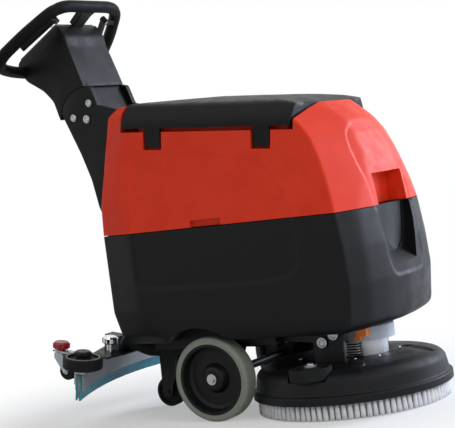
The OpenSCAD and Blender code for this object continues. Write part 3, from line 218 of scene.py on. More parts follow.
# White nylon bristles: bright at the tips, with grey gaps between the tufts.
white_nylon = moulded("white_nylon", "#E9EAEC", "#D5D7DA", 2.0, 0.15, 0.55, 12, IOR=1.53)
# Sand-cast aluminium of the squeegee body: dull, with a granular skin.
cast_aluminium = metal("cast_aluminium", "#ACAFB3", "#989BA0", 0.50, 1.6)
# Die-cast aluminium of gear housing and suction motor: brighter and smoother than the sand casting.
die_cast = metal("die_cast", "#C3C7CB", "#ABAFB4", 0.38, 2.5)
# Zinc-plated pressed steel: a cool grey shine with soft clouds in it.
zinc_plate = metal("zinc_plate", "#B4B9BE", "#9CA1A7", 0.34, 4.0)
# Turned steel of pins and screws: rings of the lathe draw the highlights out.
turned_steel = metal("turned_steel", "#C4C6C9", "#AEB1B5", 0.26, 0.8, (1.0, 6.0, 1.0))
# Chrome plate on the squeegee's knobs: a clear mirror.
chrome_plate = metal("chrome_plate", "#E3E5E8", "#D6D9DD", 0.09, 20.0)
# Powder-coated steel of frame, axle and arms: black, with a fine orange peel.
powder_coat = moulded("powder_coat", "#0C0D0E", "#101113", 1.2, 0.05, 0.42, 50,
                      IOR=1.5, Specular_IOR_Level=0.25)
# Phenolic knobs: a hard, deep red with small sharp highlights.
red_phenolic = moulded("red_phenolic", "#A01722", "#8A111B", 1.2, 0.04, 0.32, 20, IOR=1.55)
# Glossy ABS of the stop button, in signal red.
signal_red = moulded("signal_red", "#CC2018", "#BE1B14", 1.0, 0.03, 0.30, 20, IOR=1.53)
# Dyed nylon of the feed clip: a clear orange with a satin skin.
orange_nylon = moulded("orange_nylon", "#FF8A1C", "#F57D12", 1.0, 0.05, 0.40, 15, IOR=1.53)
# Moulded polypropylene of the filler cap: blue and waxy.
blue_polypropylene = moulded("blue_polypropylene", "#2F6FB0", "#295FA0", 1.2, 0.05, 0.42, 20, IOR=1.49)
# The same in dark grey, on controller, duct, socket and keys: plain and satin.
grey_polypropylene = moulded("grey_polypropylene", "#50545A", "#474B51", 1.6, 0.08, 0.50, 40, IOR=1.49)
# Undyed polypropylene of the float filter: milky and dull.
pale_polypropylene = moulded("pale_polypropylene", "#D6D6CE", "#C6C6BC", 1.2, 0.05, 0.48, 25, IOR=1.49)
# Sprayed enamel on the brush motor: a light grey-blue, smooth and slightly glossy.
motor_enamel = moulded("motor_enamel", "#B4BCC8", "#A7AFBC", 1.0, 0.03, 0.36, 30, IOR=1.5)
# Grey nylon of brush block and blade caps: dull, with an uneven tone.
grey_nylon = moulded("grey_nylon", "#8F9498", "#7F8488", 1.4, 0.06, 0.5, 25, IOR=1.53)
# Polypropylene battery cases: dark slate with a satin skin.
battery_case = moulded("battery_case", "#2B2F36", "#24272D", 1.5, 0.06, 0.5, 40, IOR=1.49)
# Polyester film over the control panel: flat, with a soft shine.
panel_film = moulded("panel_film", "#2A2D31", "#26292D", 0.6, 0.02, 0.30, 60, IOR=1.5)
# Pale paint worn matt on the rings of the end rollers.
roller_ring_paint = moulded("roller_ring_paint", "#A7A8A2", "#94958F", 1.2, 0.05, 0.55, 15, IOR=1.5)
# Smoked acrylic over the display: dark and sharply reflecting.
display_glass = moulded("display_glass", "#0C1114", "#10161A", 0.8, 0.01, 0.12, 60, IOR=1.49)


# ------------------------------ shapes
CREASE = math.radians(33)


def keep(name, bm, material, crease=CREASE):
    """Turn a bmesh into an object with smooth faces, and sharp creases where it turns a corner."""
    for face in bm.faces:
        face.smooth = True
    for edge in bm.edges:
        edge.smooth = len(edge.link_faces) == 2 and edge.calc_face_angle(3.0) < crease
    mesh = bpy.data.meshes.new(name)
    bm.to_mesh(mesh)
    bm.free()
    mesh.materials.append(material)
    return linked(name, mesh)


def apply_modifiers(made):
    """Replace the object's mesh by what its modifiers make of it."""
    bpy.context.view_layer.update()
    graph = bpy.context.evaluated_depsgraph_get()
    result = bpy.data.meshes.new_from_object(made.evaluated_get(graph))
    made.modifiers.clear()
    made.data = result
    result.name = made.name
    return made


def combined(made, other, operation):
    """Apply an exact Boolean of another object to this one, and remove the other."""
    cut = made.modifiers.new("combine", "BOOLEAN")
    cut.operation = operation
    cut.solver = "EXACT"
    cut.object = other
    apply_modifiers(made)
    bpy.data.objects.remove(other)
    return made


def settle(made, body, slot, *replaced):
    """A finished piece rides on its body and stands for the nodes that it replaces; slot is not used."""
    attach(made, body)
    if replaced:
        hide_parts(*replaced)
    return made


def joined(name, parts):
    """One object from several, which keep their own materials."""
    bm = bmesh.new()
    materials = []
    for part in parts:
        start = len(bm.faces)
        bm.from_mesh(part.data)
        bm.faces.ensure_lookup_table()
        material = part.data.materials[0]
        if material not in materials:
            materials.append(material)
        for face in bm.faces[start:]:
            face.material_index = materials.index(material)
        bpy.data.objects.remove(part)
    mesh = bpy.data.meshes.new(name)
    bm.to_mesh(mesh)
    bm.free()
    for material in materials:
        mesh.materials.append(material)
    return linked(name, mesh)


def eased(outline, radius, steps=4, ring=True):
    """An outline whose corners are turned into small arcs, where its sides leave room for them."""
    result = []
    points = [Vector(p) for p in outline]
    for i, here in enumerate(points):
        if not ring and i in (0, len(points) - 1):
            result.append(here)
            continue
        before = points[i - 1] - here
        after = points[(i + 1) % len(points)] - here
        reach = min(radius, before.length * 0.45, after.length * 0.45)
        a = here + before.normalized() * reach
        b = here + after.normalized() * reach
        for k in range(steps + 1):
            t = k / steps
            result.append(a.lerp(here, t).lerp(here.lerp(b, t), t))
    return result


def angles(count, start=0.0):
    """Even steps round a circle."""
    return [math.tau * (k + start) / count for k in range(count)]


def bridge(bm, low, high):
    """Faces between two closed rows of points."""
    for k in range(len(low)):
        j = (k + 1) % len(low)
        bm.faces.new((low[k], low[j], high[j], high[k]))


def turned(name, outline, place, material, ease=1.5, ring=False, around=96):
    """A piece turned about its own Z from an outline of (radius, height) in millimetres.

    An outline that isn't a ring starts and ends on the axis.
    """
    bm = bmesh.new()
    rows = []
    for r, h in eased(outline, ease, ring=ring):
        if r < 0.01:
            rows.append([bm.verts.new((0, 0, h))])
            continue
        rows.append([bm.verts.new((r * math.cos(a), r * math.sin(a), h)) for a in angles(around)])
    pairs = list(zip(rows, rows[1:])) + ([(rows[-1], rows[0])] if ring else [])
    for low, high in pairs:
        for k in range(around):
            corners = [low[k % len(low)], low[(k + 1) % len(low)],
                       high[(k + 1) % len(high)], high[k % len(high)]]
            face = list(dict.fromkeys(corners))
            if len(face) > 2:
                bm.faces.new(face)
    bmesh.ops.recalc_face_normals(bm, faces=bm.faces)
    bmesh.ops.transform(bm, matrix=Matrix.Scale(MM, 4) @ place, verts=bm.verts)
    if place.determinant() < 0:
        bmesh.ops.reverse_faces(bm, faces=bm.faces)
    return keep(name, bm, material)


def at(x, y, z, axis="Z"):
    """A place for a turned piece, whose own Z points along +Z, +Y, -Y or +X."""
    tilt = {"Z": Matrix.Identity(4), "Y": Matrix.Rotation(-math.pi / 2, 4, "X"),
            "-Y": Matrix.Rotation(math.pi / 2, 4, "X"), "X": Matrix.Rotation(math.pi / 2, 4, "Y")}
    return Matrix.Translation((x, y, z)) @ tilt[axis]


def smooth_path(points, count):
    """A smooth curve through points, at count + 1 even steps."""
    points = [Vector(p) for p in points]
    result = []
    for i in range(count + 1):
        t = i * (len(points) - 1) / count
        k = min(int(t), len(points) - 2)
        f = t - k
        a, b, c, d = (points[min(max(n, 0), len(points) - 1)] for n in range(k - 1, k + 3))
        result.append(0.5 * (2 * b + (c - a) * f + (2 * a - 5 * b + 4 * c - d) * f * f
                             + (3 * b - a - 3 * c + d) * f ** 3))
    return result


def tube(name, path, radii, material, sides):
    """A round bar along a path in millimetres, closed at both ends."""
    bm = bmesh.new()
    path = [Vector(p) for p in path]
    normal = Vector((0, 0, 1))
    rings = []
    for i, here in enumerate(path):
        along = (path[min(i + 1, len(path) - 1)] - path[max(i - 1, 0)]).normalized()
        normal = (normal - along * normal.dot(along)).normalized()
        side = along.cross(normal)
        rings.append([bm.verts.new((here + radii[i] * (math.cos(a) * normal + math.sin(a) * side)) * MM)
                      for a in angles(sides)])
    for low, high in zip(rings, rings[1:]):
        bridge(bm, low, high)
    bm.faces.new(rings[0])
    bm.faces.new(rings[-1])
    bmesh.ops.recalc_face_normals(bm, faces=bm.faces)
    return keep(name, bm, material)


def rectangle(x0, y0, x1, y1):
    return [(x0, y0), (x1, y0), (x1, y1), (x0, y1)]


def slab(name, outline, depth, place, material, ease=3.0, edge=0.8, ring=True):
    """A plate cut to an outline in millimetres, with rounded corners and softened edges."""
    bm = bmesh.new()
    points = eased(outline, ease) if ring else [Vector(p) for p in outline]
    low = [bm.verts.new((p.x, p.y, 0)) for p in points]
    high = [bm.verts.new((p.x, p.y, depth)) for p in points]
    bm.faces.new(low)
    bm.faces.new(high)
    bridge(bm, low, high)
    bmesh.ops.recalc_face_normals(bm, faces=bm.faces)
    made = keep(name, bm, material)
    bevel = made.modifiers.new("edges", "BEVEL")
    bevel.width = edge
    bevel.segments = 2
    bevel.limit_method = "ANGLE"
    bevel.angle_limit = math.radians(50)
    apply_modifiers(made)
    made.data.transform(Matrix.Scale(MM, 4) @ place)
    if place.determinant() < 0:
        made.data.flip_normals()
    return made


# ------------------------------ finishes of the plain pieces
FINISH = {
    black_polyethylene: ["solution_tank", "solution_cover"],
    red_polyethylene: ["recovery_tank"],
    blue_polypropylene: ["fill_cap"],
    battery_case: ["battery_left", "battery_right"],
    grey_polypropylene: ["controller", "suction_duct", "suction_socket"],
    pale_polypropylene: ["float_filter"],
    turned_steel: ["hub_bolts", "column_screws", "key", "bumper_screw"],
    zinc_plate: ["caster_plate", "wheel_brackets", "small_fork_left", "small_fork_right"],
    powder_coat: ["axle", "chassis_frame", "caster_fork", "lift_arms", "deck_brackets", "squeegee_arms",
                  "squeegee_cover"],
    black_nylon: ["rim_left", "rim_right", "end_knobs"],
    grey_polyurethane: ["tyre_left", "tyre_right"],
    # The lid seal is real black rubber, and it also stands wide across the gap under the lid: there its black
    # is partly painted shade over the red neck behind it, which lies in shadow.
    black_rubber: ["caster_wheel", "lid_seal", "bumper_roller", "end_roller_left", "end_roller_right",
                   "small_wheel_left", "small_wheel_right", "suction_hose"],
    black_abs: ["column", "column_bracket", "trigger_left", "trigger_right"],
    lid_abs: ["lid"],
    grip_foam: ["handle_loop"],
    panel_film: ["control_panel"],
    signal_red: ["stop_button"],
    deck_abs: ["deck_shroud"],
    die_cast: ["gear_housing", "vacuum_motor"],
    motor_enamel: ["brush_motor"],
    orange_nylon: ["feed_clip"],
    grey_nylon: ["brush_block"],
    white_nylon: ["bristles"],
    cast_aluminium: ["squeegee_body"],
    teal_urethane: ["front_blade", "rear_blade"],
    chrome_plate: ["chrome_knob_left", "chrome_knob_right"],
    red_phenolic: ["red_knob_left", "red_knob_right"],
}
for material, names in FINISH.items():
    for name in names:
        nodes[name].data.materials.clear()
        nodes[name].data.materials.append(material)


# ------------------------------ soft moulded forms
SKIN = 0.4      # mm that the soft forms stay inside the sides of the plain ones


def smoothed(lean, reach=9):
    """A table of (height, lean) as a fine curve, with its corners eased over reach millimetres."""
    heights = np.arange(lean[0][0] - 60, lean[-1][0] + 60, 1.0)
    table = np.array(lean, dtype=float)
    weights = np.hanning(2 * reach + 3)[1:-1]
    wider = np.arange(heights[0] - reach, heights[-1] + reach + 0.5, 1.0)
    padded = np.interp(wider, table[:, 0], table[:, 1])
    return heights, np.convolve(padded, weights / weights.sum(), mode="valid")[:len(heights)]


def leaning_walls(corners, leans):
    """Walls between plan corners, as (direction, distance, lean curve); mirrored to the other side."""
    result = []
    for (ax, ay), (bx, by), lean in zip(corners, corners[1:], leans):
        angle = math.atan2(ax - bx, by - ay)
        reach = ax * math.cos(angle) + ay * math.sin(angle) - SKIN
        result += [(angle, reach, smoothed(lean)), (-angle, reach, smoothed(lean))]
    return result


def soft_block(name, low, high, step, walls, softness, material, dent=None):
    """A closed form inside leaning walls that meet in soft edges, made from a box of small faces."""
    low, high = np.array(low, dtype=float), np.array(high, dtype=float)
    counts = np.maximum(np.round((high - low) / step), 2).astype(int)
    index, points, faces = {}, [], []

    def corner(i, j, k):
        key = (i, j, k)
        if key not in index:
            index[key] = len(points)
            points.append(low + (high - low) * np.array(key) / counts)
        return index[key]

    for axis in range(3):
        u, v = (axis + 1) % 3, (axis + 2) % 3
        for side in (0, counts[axis]):
            for a in range(counts[u]):
                for b in range(counts[v]):
                    ring = []
                    for da, db in ((0, 0), (1, 0), (1, 1), (0, 1)):
                        key = [0, 0, 0]
                        key[axis], key[u], key[v] = side, a + da, b + db
                        ring.append(corner(*key))
                    faces.append(ring if side else ring[::-1])
    points = np.array(points)
    centre = (low + high) / 2
    rays = points - centre

    def outside(p):
        """Above zero outside the form; softness is how far from an edge two walls blend."""
        gaps = [p[:, 2] - high[2], low[2] - p[:, 2]]
        for angle, reach, (heights, lean) in walls:
            gaps.append(p[:, 0] * math.cos(angle) + p[:, 1] * math.sin(angle) - reach
                        - np.interp(p[:, 2], heights, lean))
        gaps = np.array(gaps) / softness
        top = gaps.max(axis=0)
        return top + np.log(np.exp(gaps - top).sum(axis=0))

    # Each point moves along its ray from the centre, which is halved again and again to find the form.
    near, far = np.zeros(len(points)), np.full(len(points), 1.6)
    for _ in range(20):
        middle = (near + far) / 2
        out = outside(centre + rays * middle[:, None]) > 0
        far = np.where(out, middle, far)
        near = np.where(out, near, middle)
    points = centre + rays * near[:, None]
    if dent:
        points = dent(points)
    mesh = bpy.data.meshes.new(name)
    mesh.from_pydata((points * MM).tolist(), [], faces)
    mesh.materials.append(material)
    return linked(name, mesh)


def inside(flat, outline):
    """How far each point of a plane lies inside a closed outline; negative outside it."""
    corners = np.array([tuple(p)[:2] for p in outline])
    nearest = np.full(len(flat), 1e9)
    odd = np.zeros(len(flat), dtype=bool)
    for p, q in zip(corners, np.roll(corners, -1, axis=0)):
        edge, way = q - p, flat - p
        t = np.clip(way @ edge / max(edge @ edge, 1e-9), 0, 1)
        nearest = np.minimum(nearest, np.linalg.norm(way - t[:, None] * edge, axis=1))
        rise = q[1] - p[1] if q[1] != p[1] else 1e-9
        odd ^= ((p[1] > flat[:, 1]) != (q[1] > flat[:, 1])) & (
            flat[:, 0] < (q[0] - p[0]) * (flat[:, 1] - p[1]) / rise + p[0])
    return np.where(odd, nearest, -nearest)


def ramp(value, start, end):
    """A smooth step from 0 at start to 1 at end."""
    t = np.clip((value - start) / (end - start), 0, 1)
    return t * t * (3 - 2 * t)


def fitted(node, soft, material, name, crease=33):
    """A CAD node cut to a soft outer form; its mouths, pockets and inside stay as they are."""
    bm = bmesh.new()
    bm.from_mesh(nodes[node].data)
    bmesh.ops.remove_doubles(bm, verts=bm.verts, dist=0.01 * MM)
    bmesh.ops.dissolve_limit(bm, angle_limit=math.radians(0.4), verts=bm.verts, edges=bm.edges)
    combined(soft, keep(node + "_solid", bm, material), "INTERSECT")
    bm = bmesh.new()
    bm.from_mesh(soft.data)
    bpy.data.objects.remove(soft)
    for face in bm.faces:
        face.material_index = 0
    bmesh.ops.remove_doubles(bm, verts=bm.verts, dist=0.02 * MM)
    bmesh.ops.dissolve_degenerate(bm, edges=bm.edges, dist=0.01 * MM)
    return keep(name, bm, material, math.radians(crease))


def with_room(soft, *boxes):
    """Add boxes to a soft form, where parts of the node stand outside it."""
    for low, high in boxes:
        bm = bmesh.new()
        bmesh.ops.create_cube(bm, size=1.0)
        middle = (Vector(low) + Vector(high)) / 2
        bmesh.ops.transform(bm, verts=bm.verts, matrix=Matrix.Translation(middle * MM) @ Matrix.Diagonal(
            [(b - a) * MM for a, b in zip(low, high)] + [1.0]))
        combined(soft, keep("room", bm, soft.data.materials[0]), "UNION")
    return soft


# ------------------------------ the two tanks
NOSE_X, HALF_W, REAR = 463, 219, 237
FLOOR, SPLIT, TOP = 191, 458, 764
FOOT = [(FLOOR, -30), (FLOOR + 7, -8), (FLOOR + 18, 4), (SPLIT - 160, 13), (SPLIT - 80, 9), (SPLIT, 0)]
NOSE_LEAN = FOOT + [(SPLIT + 42, -4), (SPLIT + 88, -11), (SPLIT + 128, -22), (SPLIT + 170, -40),
                    (SPLIT + 205, -65), (SPLIT + 229, -92), (TOP, -180)]
CORNER_LEAN = FOOT + [(SPLIT + 42, -10), (SPLIT + 88, -24), (SPLIT + 128, -38), (SPLIT + 170, -56),
                      (SPLIT + 205, -80), (SPLIT + 229, -104), (TOP, -180)]
SIDE_LEAN = [(FLOOR, -14), (FLOOR + 12, -3), (FLOOR + 30, 0), (SPLIT, 0), (SPLIT + 42, -6), (SPLIT + 88, -14),
             (SPLIT + 132, -21), (SPLIT + 182, -27), (TOP - 64, -31), (TOP - 12, -44), (TOP, -66)]
REAR_LEAN = [(FLOOR, -26), (FLOOR + 21, -11), (FLOOR + 80, 0), (SPLIT, 0), (SPLIT + 72, -3),
             (SPLIT + 182, -22), (TOP - 20, -40), (TOP, -62)]
PLAN = [(NOSE_X, 0), (NOSE_X - 8, 90), (NOSE_X - 23, 158), (NOSE_X - 49, HALF_W),
        (-REAR + 95, HALF_W), (-REAR + 3, HALF_W - 24)]
tank_walls = leaning_walls(PLAN, [NOSE_LEAN, NOSE_LEAN, CORNER_LEAN, SIDE_LEAN, REAR_LEAN])
tank_walls.append((math.pi, REAR - SKIN, smoothed(REAR_LEAN)))

# The shallow panel over the side of both tanks, the sunk band down the nose, and the lip under its scoop.
SIDE_PANEL = eased([(-134, 652), (60, 632), (215, 604), (262, 566), (296, 500), (314, 420), (312, 352),
                    (284, 326), (220, 316), (-140, 321)], 30, 5)
NOSE_BAND = eased([(-93, 440), (-97, 470), (-111, 545), (-110, 595), (-98, 632), (-62, 655), (0, 661),
                   (62, 652), (98, 626), (93, 585), (87, 530), (96, 470), (103, 440)], 14, 4)
SCOOP_LIP = eased([(-88, 470), (-84, 330), (-64, 293), (86, 293), (104, 322), (108, 470)], 22, 5)
PANEL_DEPTH, NOSE_DEPTH = 2.4, 3.1      # shallow, because the wall behind is only 6 mm


def tank_dents(points):
    """Press the side panels, the band down the nose and the lip under the scoop into the walls."""
    moved = points.copy()
    flanks = np.abs(points[:, 1]) > HALF_W - 62
    panel = PANEL_DEPTH * ramp(inside(points[:, [0, 2]], SIDE_PANEL), -2, 9)
    moved[:, 1] -= np.sign(points[:, 1]) * (panel * flanks)
    front = points[:, 0] > NOSE_X - 150
    upper = points[:, 2] > SPLIT - 3
    band = NOSE_DEPTH * ramp(inside(points[:, [1, 2]], NOSE_BAND), 0, 6) * ramp(664 - points[:, 2], 0, 30)
    lip = NOSE_DEPTH * ramp(inside(points[:, [1, 2]], SCOOP_LIP), 0, 7)
    moved[:, 0] -= np.where(upper, band, lip) * front
    return moved


TANK_STEP, TANK_SOFTNESS = 4.5, 1.2


def tank_form(low, high):
    """The outer form of both tanks between two heights."""
    return soft_block("tank_form", (-REAR, -HALF_W, low), (NOSE_X + 12, HALF_W, high), TANK_STEP,
                      tank_walls, TANK_SOFTNESS, red_polyethylene, tank_dents)


def hinge_rooms(inner, below, above):
    """Boxes for the hinge ears behind the joint of the tanks, one on each side."""
    return [((-REAR - 20, low, SPLIT - below), (-REAR + 1, high, SPLIT + above))
            for low, high in ((-152, -inner), (inner, 152))]


upper_form = with_room(tank_form(SPLIT - 12, TOP), *hinge_rooms(118, 10, 12))
settle(fitted("recovery_tank", upper_form, red_polyethylene, "red_tank"), "upper_tank", "red_plastic",
       "recovery_tank")

# The shallow chute in the floor of the scoop, as a front view that is cut forward from CHUTE_X.
CHUTE_X = NOSE_X - 28.6
chute = slab("chute", [(-42, 475), (-37, 402), (-22, 370), (10, 349), (34, 351), (60, 375), (82, 475)], 60,
             Matrix(((0, 0, 1, CHUTE_X), (1, 0, 0, 0), (0, 1, 0, 0), (0, 0, 0, 1))), black_polyethylene,
             ease=30, edge=0.4)
SPIGOT_ROOM = ((-205, -118, 130), (-130, -74, FLOOR + 4))
lower_form = combined(tank_form(FLOOR, SPLIT + 14), chute, "DIFFERENCE")
lower_form = with_room(lower_form, *hinge_rooms(88, 14, 14), SPIGOT_ROOM)
settle(fitted("solution_tank", lower_form, black_polyethylene, "black_tank"), "chassis", "black_plastic",
       "solution_tank")

# ------------------------------ lid
LID_LENGTH, LID_BOW, LID_HALF_W, LID_H = 487, 17, 188, 46
LID_PLACE = Matrix.Translation((-REAR + 90, 0, 711)) @ Matrix.Rotation(math.radians(6), 4, "Y")
upright = [(-60, 0), (80, 0)]
lid_side = LID_LENGTH - LID_BOW
LID_FLANK = [(10, 0), (24, -6), (LID_H + 9, -26), (LID_H + 16, -40), (LID_H + 21, -188)]
LID_PLAN = [(LID_LENGTH, 0), (lid_side + 4, LID_HALF_W * 0.63), (lid_side, LID_HALF_W), (0, LID_HALF_W)]
lid_walls = leaning_walls(LID_PLAN, [upright, upright, LID_FLANK]) + [
    (0.0, LID_LENGTH - SKIN, smoothed([
        (LID_H - 2, 0), (LID_H + 4, -20), (LID_H + 11, -55), (LID_H + 19, -LID_LENGTH * 0.25),
        (LID_H + 22, -LID_LENGTH * 0.6)], 2)),
    (math.pi, -SKIN, smoothed([(0, 0), (LID_H + 12, -5), (LID_H + 22, -LID_LENGTH * 0.4)], 2))]
LID_STEP, LID_SOFTNESS = 5.0, 1.1
lid_form = soft_block("lid_form", (-4, -LID_HALF_W - 2, -60), (LID_LENGTH + 2, LID_HALF_W + 2, LID_H + 22),
                      LID_STEP, lid_walls, LID_SOFTNESS, lid_abs)
lid_form.data.transform(Matrix.Scale(MM, 4) @ LID_PLACE @ Matrix.Scale(1 / MM, 4))
settle(fitted("lid", lid_form, lid_abs, "lid_shell"), "lid", "black_plastic", "lid")

# ------------------------------ column and its bracket
def side_on(y):
    """A place for a side view: its outline runs forward and up, its depth goes right from y."""
    return Matrix(((1, 0, 0, 0), (0, 0, -1, y), (0, 1, 0, 0), (0, 0, 0, 1)))


COLUMN_HALF_W, SEAM_R, CHEEK = 85, 82, 16
TILT = Vector((-REAR - 83, TOP - 12))
HEAD = Vector((TILT.x - 35, 969))
COLUMN_SIDE = [HEAD + Vector(p) for p in ((0, 0), (-22, 33), (-163, -44), (-167, -64), (-142, -99),
                                          (-119, -113), (-91, -132), (-66, -161))]
COLUMN_SIDE += [TILT + Vector(p) for p in ((-SEAM_R - 6, 8), (-60, -40), (30, -30), (12, SEAM_R))]
COLUMN_SIDE += [HEAD + Vector((4, -28))]
SIDE_PLACE, SIDE_DEPTH = side_on(COLUMN_HALF_W - SKIN), 2 * COLUMN_HALF_W - 2 * SKIN
column_form = slab("column_form", COLUMN_SIDE, SIDE_DEPTH, SIDE_PLACE, black_abs, ease=9, edge=6)
column_form = with_room(column_form, ((TILT.x - 92, -COLUMN_HALF_W + CHEEK, TILT.y - 90),
                                      (TILT.x + 60, COLUMN_HALF_W - CHEEK, TILT.y + 70)))
settle(fitted("column", column_form, black_abs, "column_shell", 30), "handle", "black_plastic", "column")


def rear_wall(z):
    """Where the rear wall of the tanks is at a height."""
    return -REAR - np.interp(z, [p[0] for p in REAR_LEAN], [p[1] for p in REAR_LEAN])


bracket_side = [TILT + Vector((SEAM_R * math.cos(math.radians(a)), SEAM_R * math.sin(math.radians(a))))
                for a in range(164, 83, -10)]
bracket_side += [TILT + Vector(p) for p in ((21, SEAM_R - 3), (27, 62), (37, 31), (58, 23))]
bracket_side += [Vector((rear_wall(z) + 2, z))
                 for z in (TOP - 10, TOP - 20, SPLIT + 182, SPLIT + 72, SPLIT + 40)]
bracket_side += [Vector((TILT.x + 8, SPLIT + 50)), Vector((TILT.x, SPLIT + 70))]
bracket_side += [TILT + Vector(p) for p in ((-12, -153), (-34, -86), (-61, -20))]
bracket_form = slab("bracket_form", bracket_side, SIDE_DEPTH, SIDE_PLACE, black_abs, ease=5, edge=3.5)
settle(fitted("column_bracket", bracket_form, black_abs, "bracket_shell", 30), "upper_tank", "black_plastic",
       "column_bracket")

# Socket heads over the pivot and lock screws; the bracket carries them on both cheeks.
screw_parts = []
for x, z, radius in ((TILT.x, TILT.y, 8.8), (TILT.x + 13.3, TILT.y + 38.8, 8.0),
                     (TILT.x - 40.2, TILT.y + 7.8, 8.0)):
    for side, axis in ((1, "Y"), (-1, "-Y")):
        head = [(0, -1), (radius, -1), (radius, 1), (radius - 1.4, 2.3), (4.6, 2.3), (4, 0.6), (0, 0.6)]
        screw_parts.append(turned("screw_head", head, at(x, side * (COLUMN_HALF_W + 3), z, axis),
                                  zinc_plate, 0.5, around=36))
settle(joined("screw_heads", screw_parts), "upper_tank", "steel")

# ------------------------------ handle loop
LOOP_TILT = math.radians(38.7)
BAR = Vector((HEAD.x + 25, 1040))
GRIP_R = 15.5
LOOP_PLACE = Matrix(((-math.cos(LOOP_TILT), 0, -math.sin(LOOP_TILT), BAR.x), (0, 1, 0, 0),
                     (-math.sin(LOOP_TILT), 0, math.cos(LOOP_TILT), BAR.y), (0, 0, 0, 1)))
half_loop = smooth_path([(0, 0), (0, 50), (1, 85), (8, 113), (26, 137), (60, 158), (100, 179), (140, 195),
                         (165, 203), (188, 201), (206, 187), (217, 161), (224, 128), (228, 97),
                         (230, 77)], 84)
around_loop = [Vector((p.x, -p.y, 0)) for p in reversed(half_loop[1:])]
around_loop += [p.to_3d() for p in half_loop]


def grip_radius(p):
    """The bar is a little slimmer where the soft grips end, with a narrow groove there."""
    groove = sum(math.exp(-((p.x - s) / 1.6) ** 2) for s in (14, 196)) * (abs(p.y) > 60)
    return GRIP_R - 0.6 * (p.x > 200) - 1.0 * groove


loop_bar = tube("loop_bar", [LOOP_PLACE @ p for p in around_loop], [grip_radius(p) for p in around_loop],
                grip_foam, sides=28)
spoke = [(4, -38), (12, -29), (24, -22), (64, -20), (64, 20), (24, 22), (12, 29), (4, 38)]
loop_parts = [loop_bar, slab("spoke", spoke, 18, LOOP_PLACE @ at(0, 0, -9), black_abs, 8, 3.5)]
for side in (1, -1):
    loop_parts.append(slab("lug", rectangle(37, 97 * side, 51, 146 * side), 4, LOOP_PLACE @ at(0, 0, -12),
                           black_abs, 4, 1))
    loop_parts.append(turned("pin", [(0, -12), (5, -12), (5, -9), (3, -8), (3, 9), (0, 9)],
                             LOOP_PLACE @ at(44, 104 * side, 0), turned_steel, 0.6, around=24))
settle(joined("handle_bar", loop_parts), "handle", "black_plastic", "handle_loop")

# ------------------------------ control panel
PANEL_TOP, PANEL_LOW = COLUMN_SIDE[1:3]
down = (PANEL_LOW - PANEL_TOP).normalized()
PANEL_T = 3.9
FACE_PLACE = Matrix(((down.x, 0, down.y, PANEL_TOP.x), (0, 1, 0, 0), (down.y, 0, -down.x, PANEL_TOP.y),
                     (0, 0, 0, 1))) @ at(0, 0, PANEL_T)
panel_parts = [slab("display", rectangle(68, -34, 98, 34), 1.4, FACE_PLACE, display_glass, 4, 0.5)]
for row in range(2):
    for column in range(4):
        y, s = -39 + 26 * column, 116 + 18 * row
        panel_parts.append(slab("key_pad", rectangle(s - 6, y - 9, s + 6, y + 9), 1.2, FACE_PLACE,
                                grey_polypropylene, 4, 0.4))
settle(joined("panel_keys", panel_parts), "handle", "grey_plastic")

# ------------------------------ brush deck
AXLE_X, BRUSH_X, DECK_R, DECK_TOP, RIM_Z = 28, 289, 237, 114, 55


def finer(outline, step):
    """The same outline with points no further apart than step."""
    result = []
    for a, b in zip(outline, outline[1:]):
        count = max(1, int((Vector(b) - Vector(a)).length // step))
        result += [Vector(a).lerp(Vector(b), k / count) for k in range(count)]
    return result + [Vector(outline[-1])]


deck_outline = eased([
    (0, 20), (DECK_R - 0.5, 20), (DECK_R - 0.5, RIM_Z - 0.5), (DECK_R - 7.5, RIM_Z + 1.5),
    (DECK_R - 13.5, DECK_TOP - 23.5), (DECK_R - 25.5, DECK_TOP - 11.5), (DECK_R - 45, DECK_TOP - 5.5),
    (DECK_R - 102, DECK_TOP - 0.5), (0, DECK_TOP - 0.5)], 7, 5, False)
deck_form = turned("deck_form", [tuple(p) for p in finer(deck_outline, 6)], at(BRUSH_X, 0, 0), deck_abs, 0.0,
                   around=288)
# A shallow trough in the top of the deck, from one point to another.
TROUGH_DEPTH, TROUGH_HALF_W = 4.2, 20
trough_a, trough_b = Vector((402, 82, 0)) * MM, Vector((474, 34, 0)) * MM
trough = trough_b - trough_a
for v in deck_form.data.vertices:
    if v.co.z > (DECK_TOP - 34) * MM:
        flat = Vector((v.co.x, v.co.y, 0))
        t = max(0, min(1, (flat - trough_a).dot(trough) / trough.length_squared))
        gap = (flat - trough_a.lerp(trough_b, t)).length / MM
        v.co.z -= TROUGH_DEPTH * MM * float(ramp(TROUGH_HALF_W - gap, 0, 12))
settle(fitted("deck_shroud", deck_form, deck_abs, "deck_shell"), "deck", "black_plastic", "deck_shroud")
boss_place = (Matrix.Translation((379, -139, DECK_TOP - 5)) @ Matrix.Rotation(math.radians(-36), 4, "Z")
              @ Matrix.Rotation(math.radians(13), 4, "Y") @ Matrix.Diagonal((1.25, 0.85, 1, 1)))
deck_parts = [turned("boss", [(0, -5), (21, -5), (21, 3), (17, 8), (0, 9.5)], boss_place, deck_abs, 5,
                     around=48)]
screw = [(0, -1), (4.5, -1), (4.5, 1.4), (3, 3), (1.6, 3), (1.6, 1.2), (0, 1.2)]
for x, y in ((393, 54), (347, -85), (392, -52), (190, -60), (200, 70)):
    deck_parts.append(turned("deck_screw", screw, at(x, y, DECK_TOP), turned_steel, 0.5, around=20))
ROLLER_SCREW = at(BRUSH_X, -DECK_R + 44.6, DECK_TOP + 10)
deck_parts.append(turned("roller_screw", [(0, 0), (8, 0), (8, 2), (5, 5), (0, 6)], ROLLER_SCREW, turned_steel,
                         2, around=24))
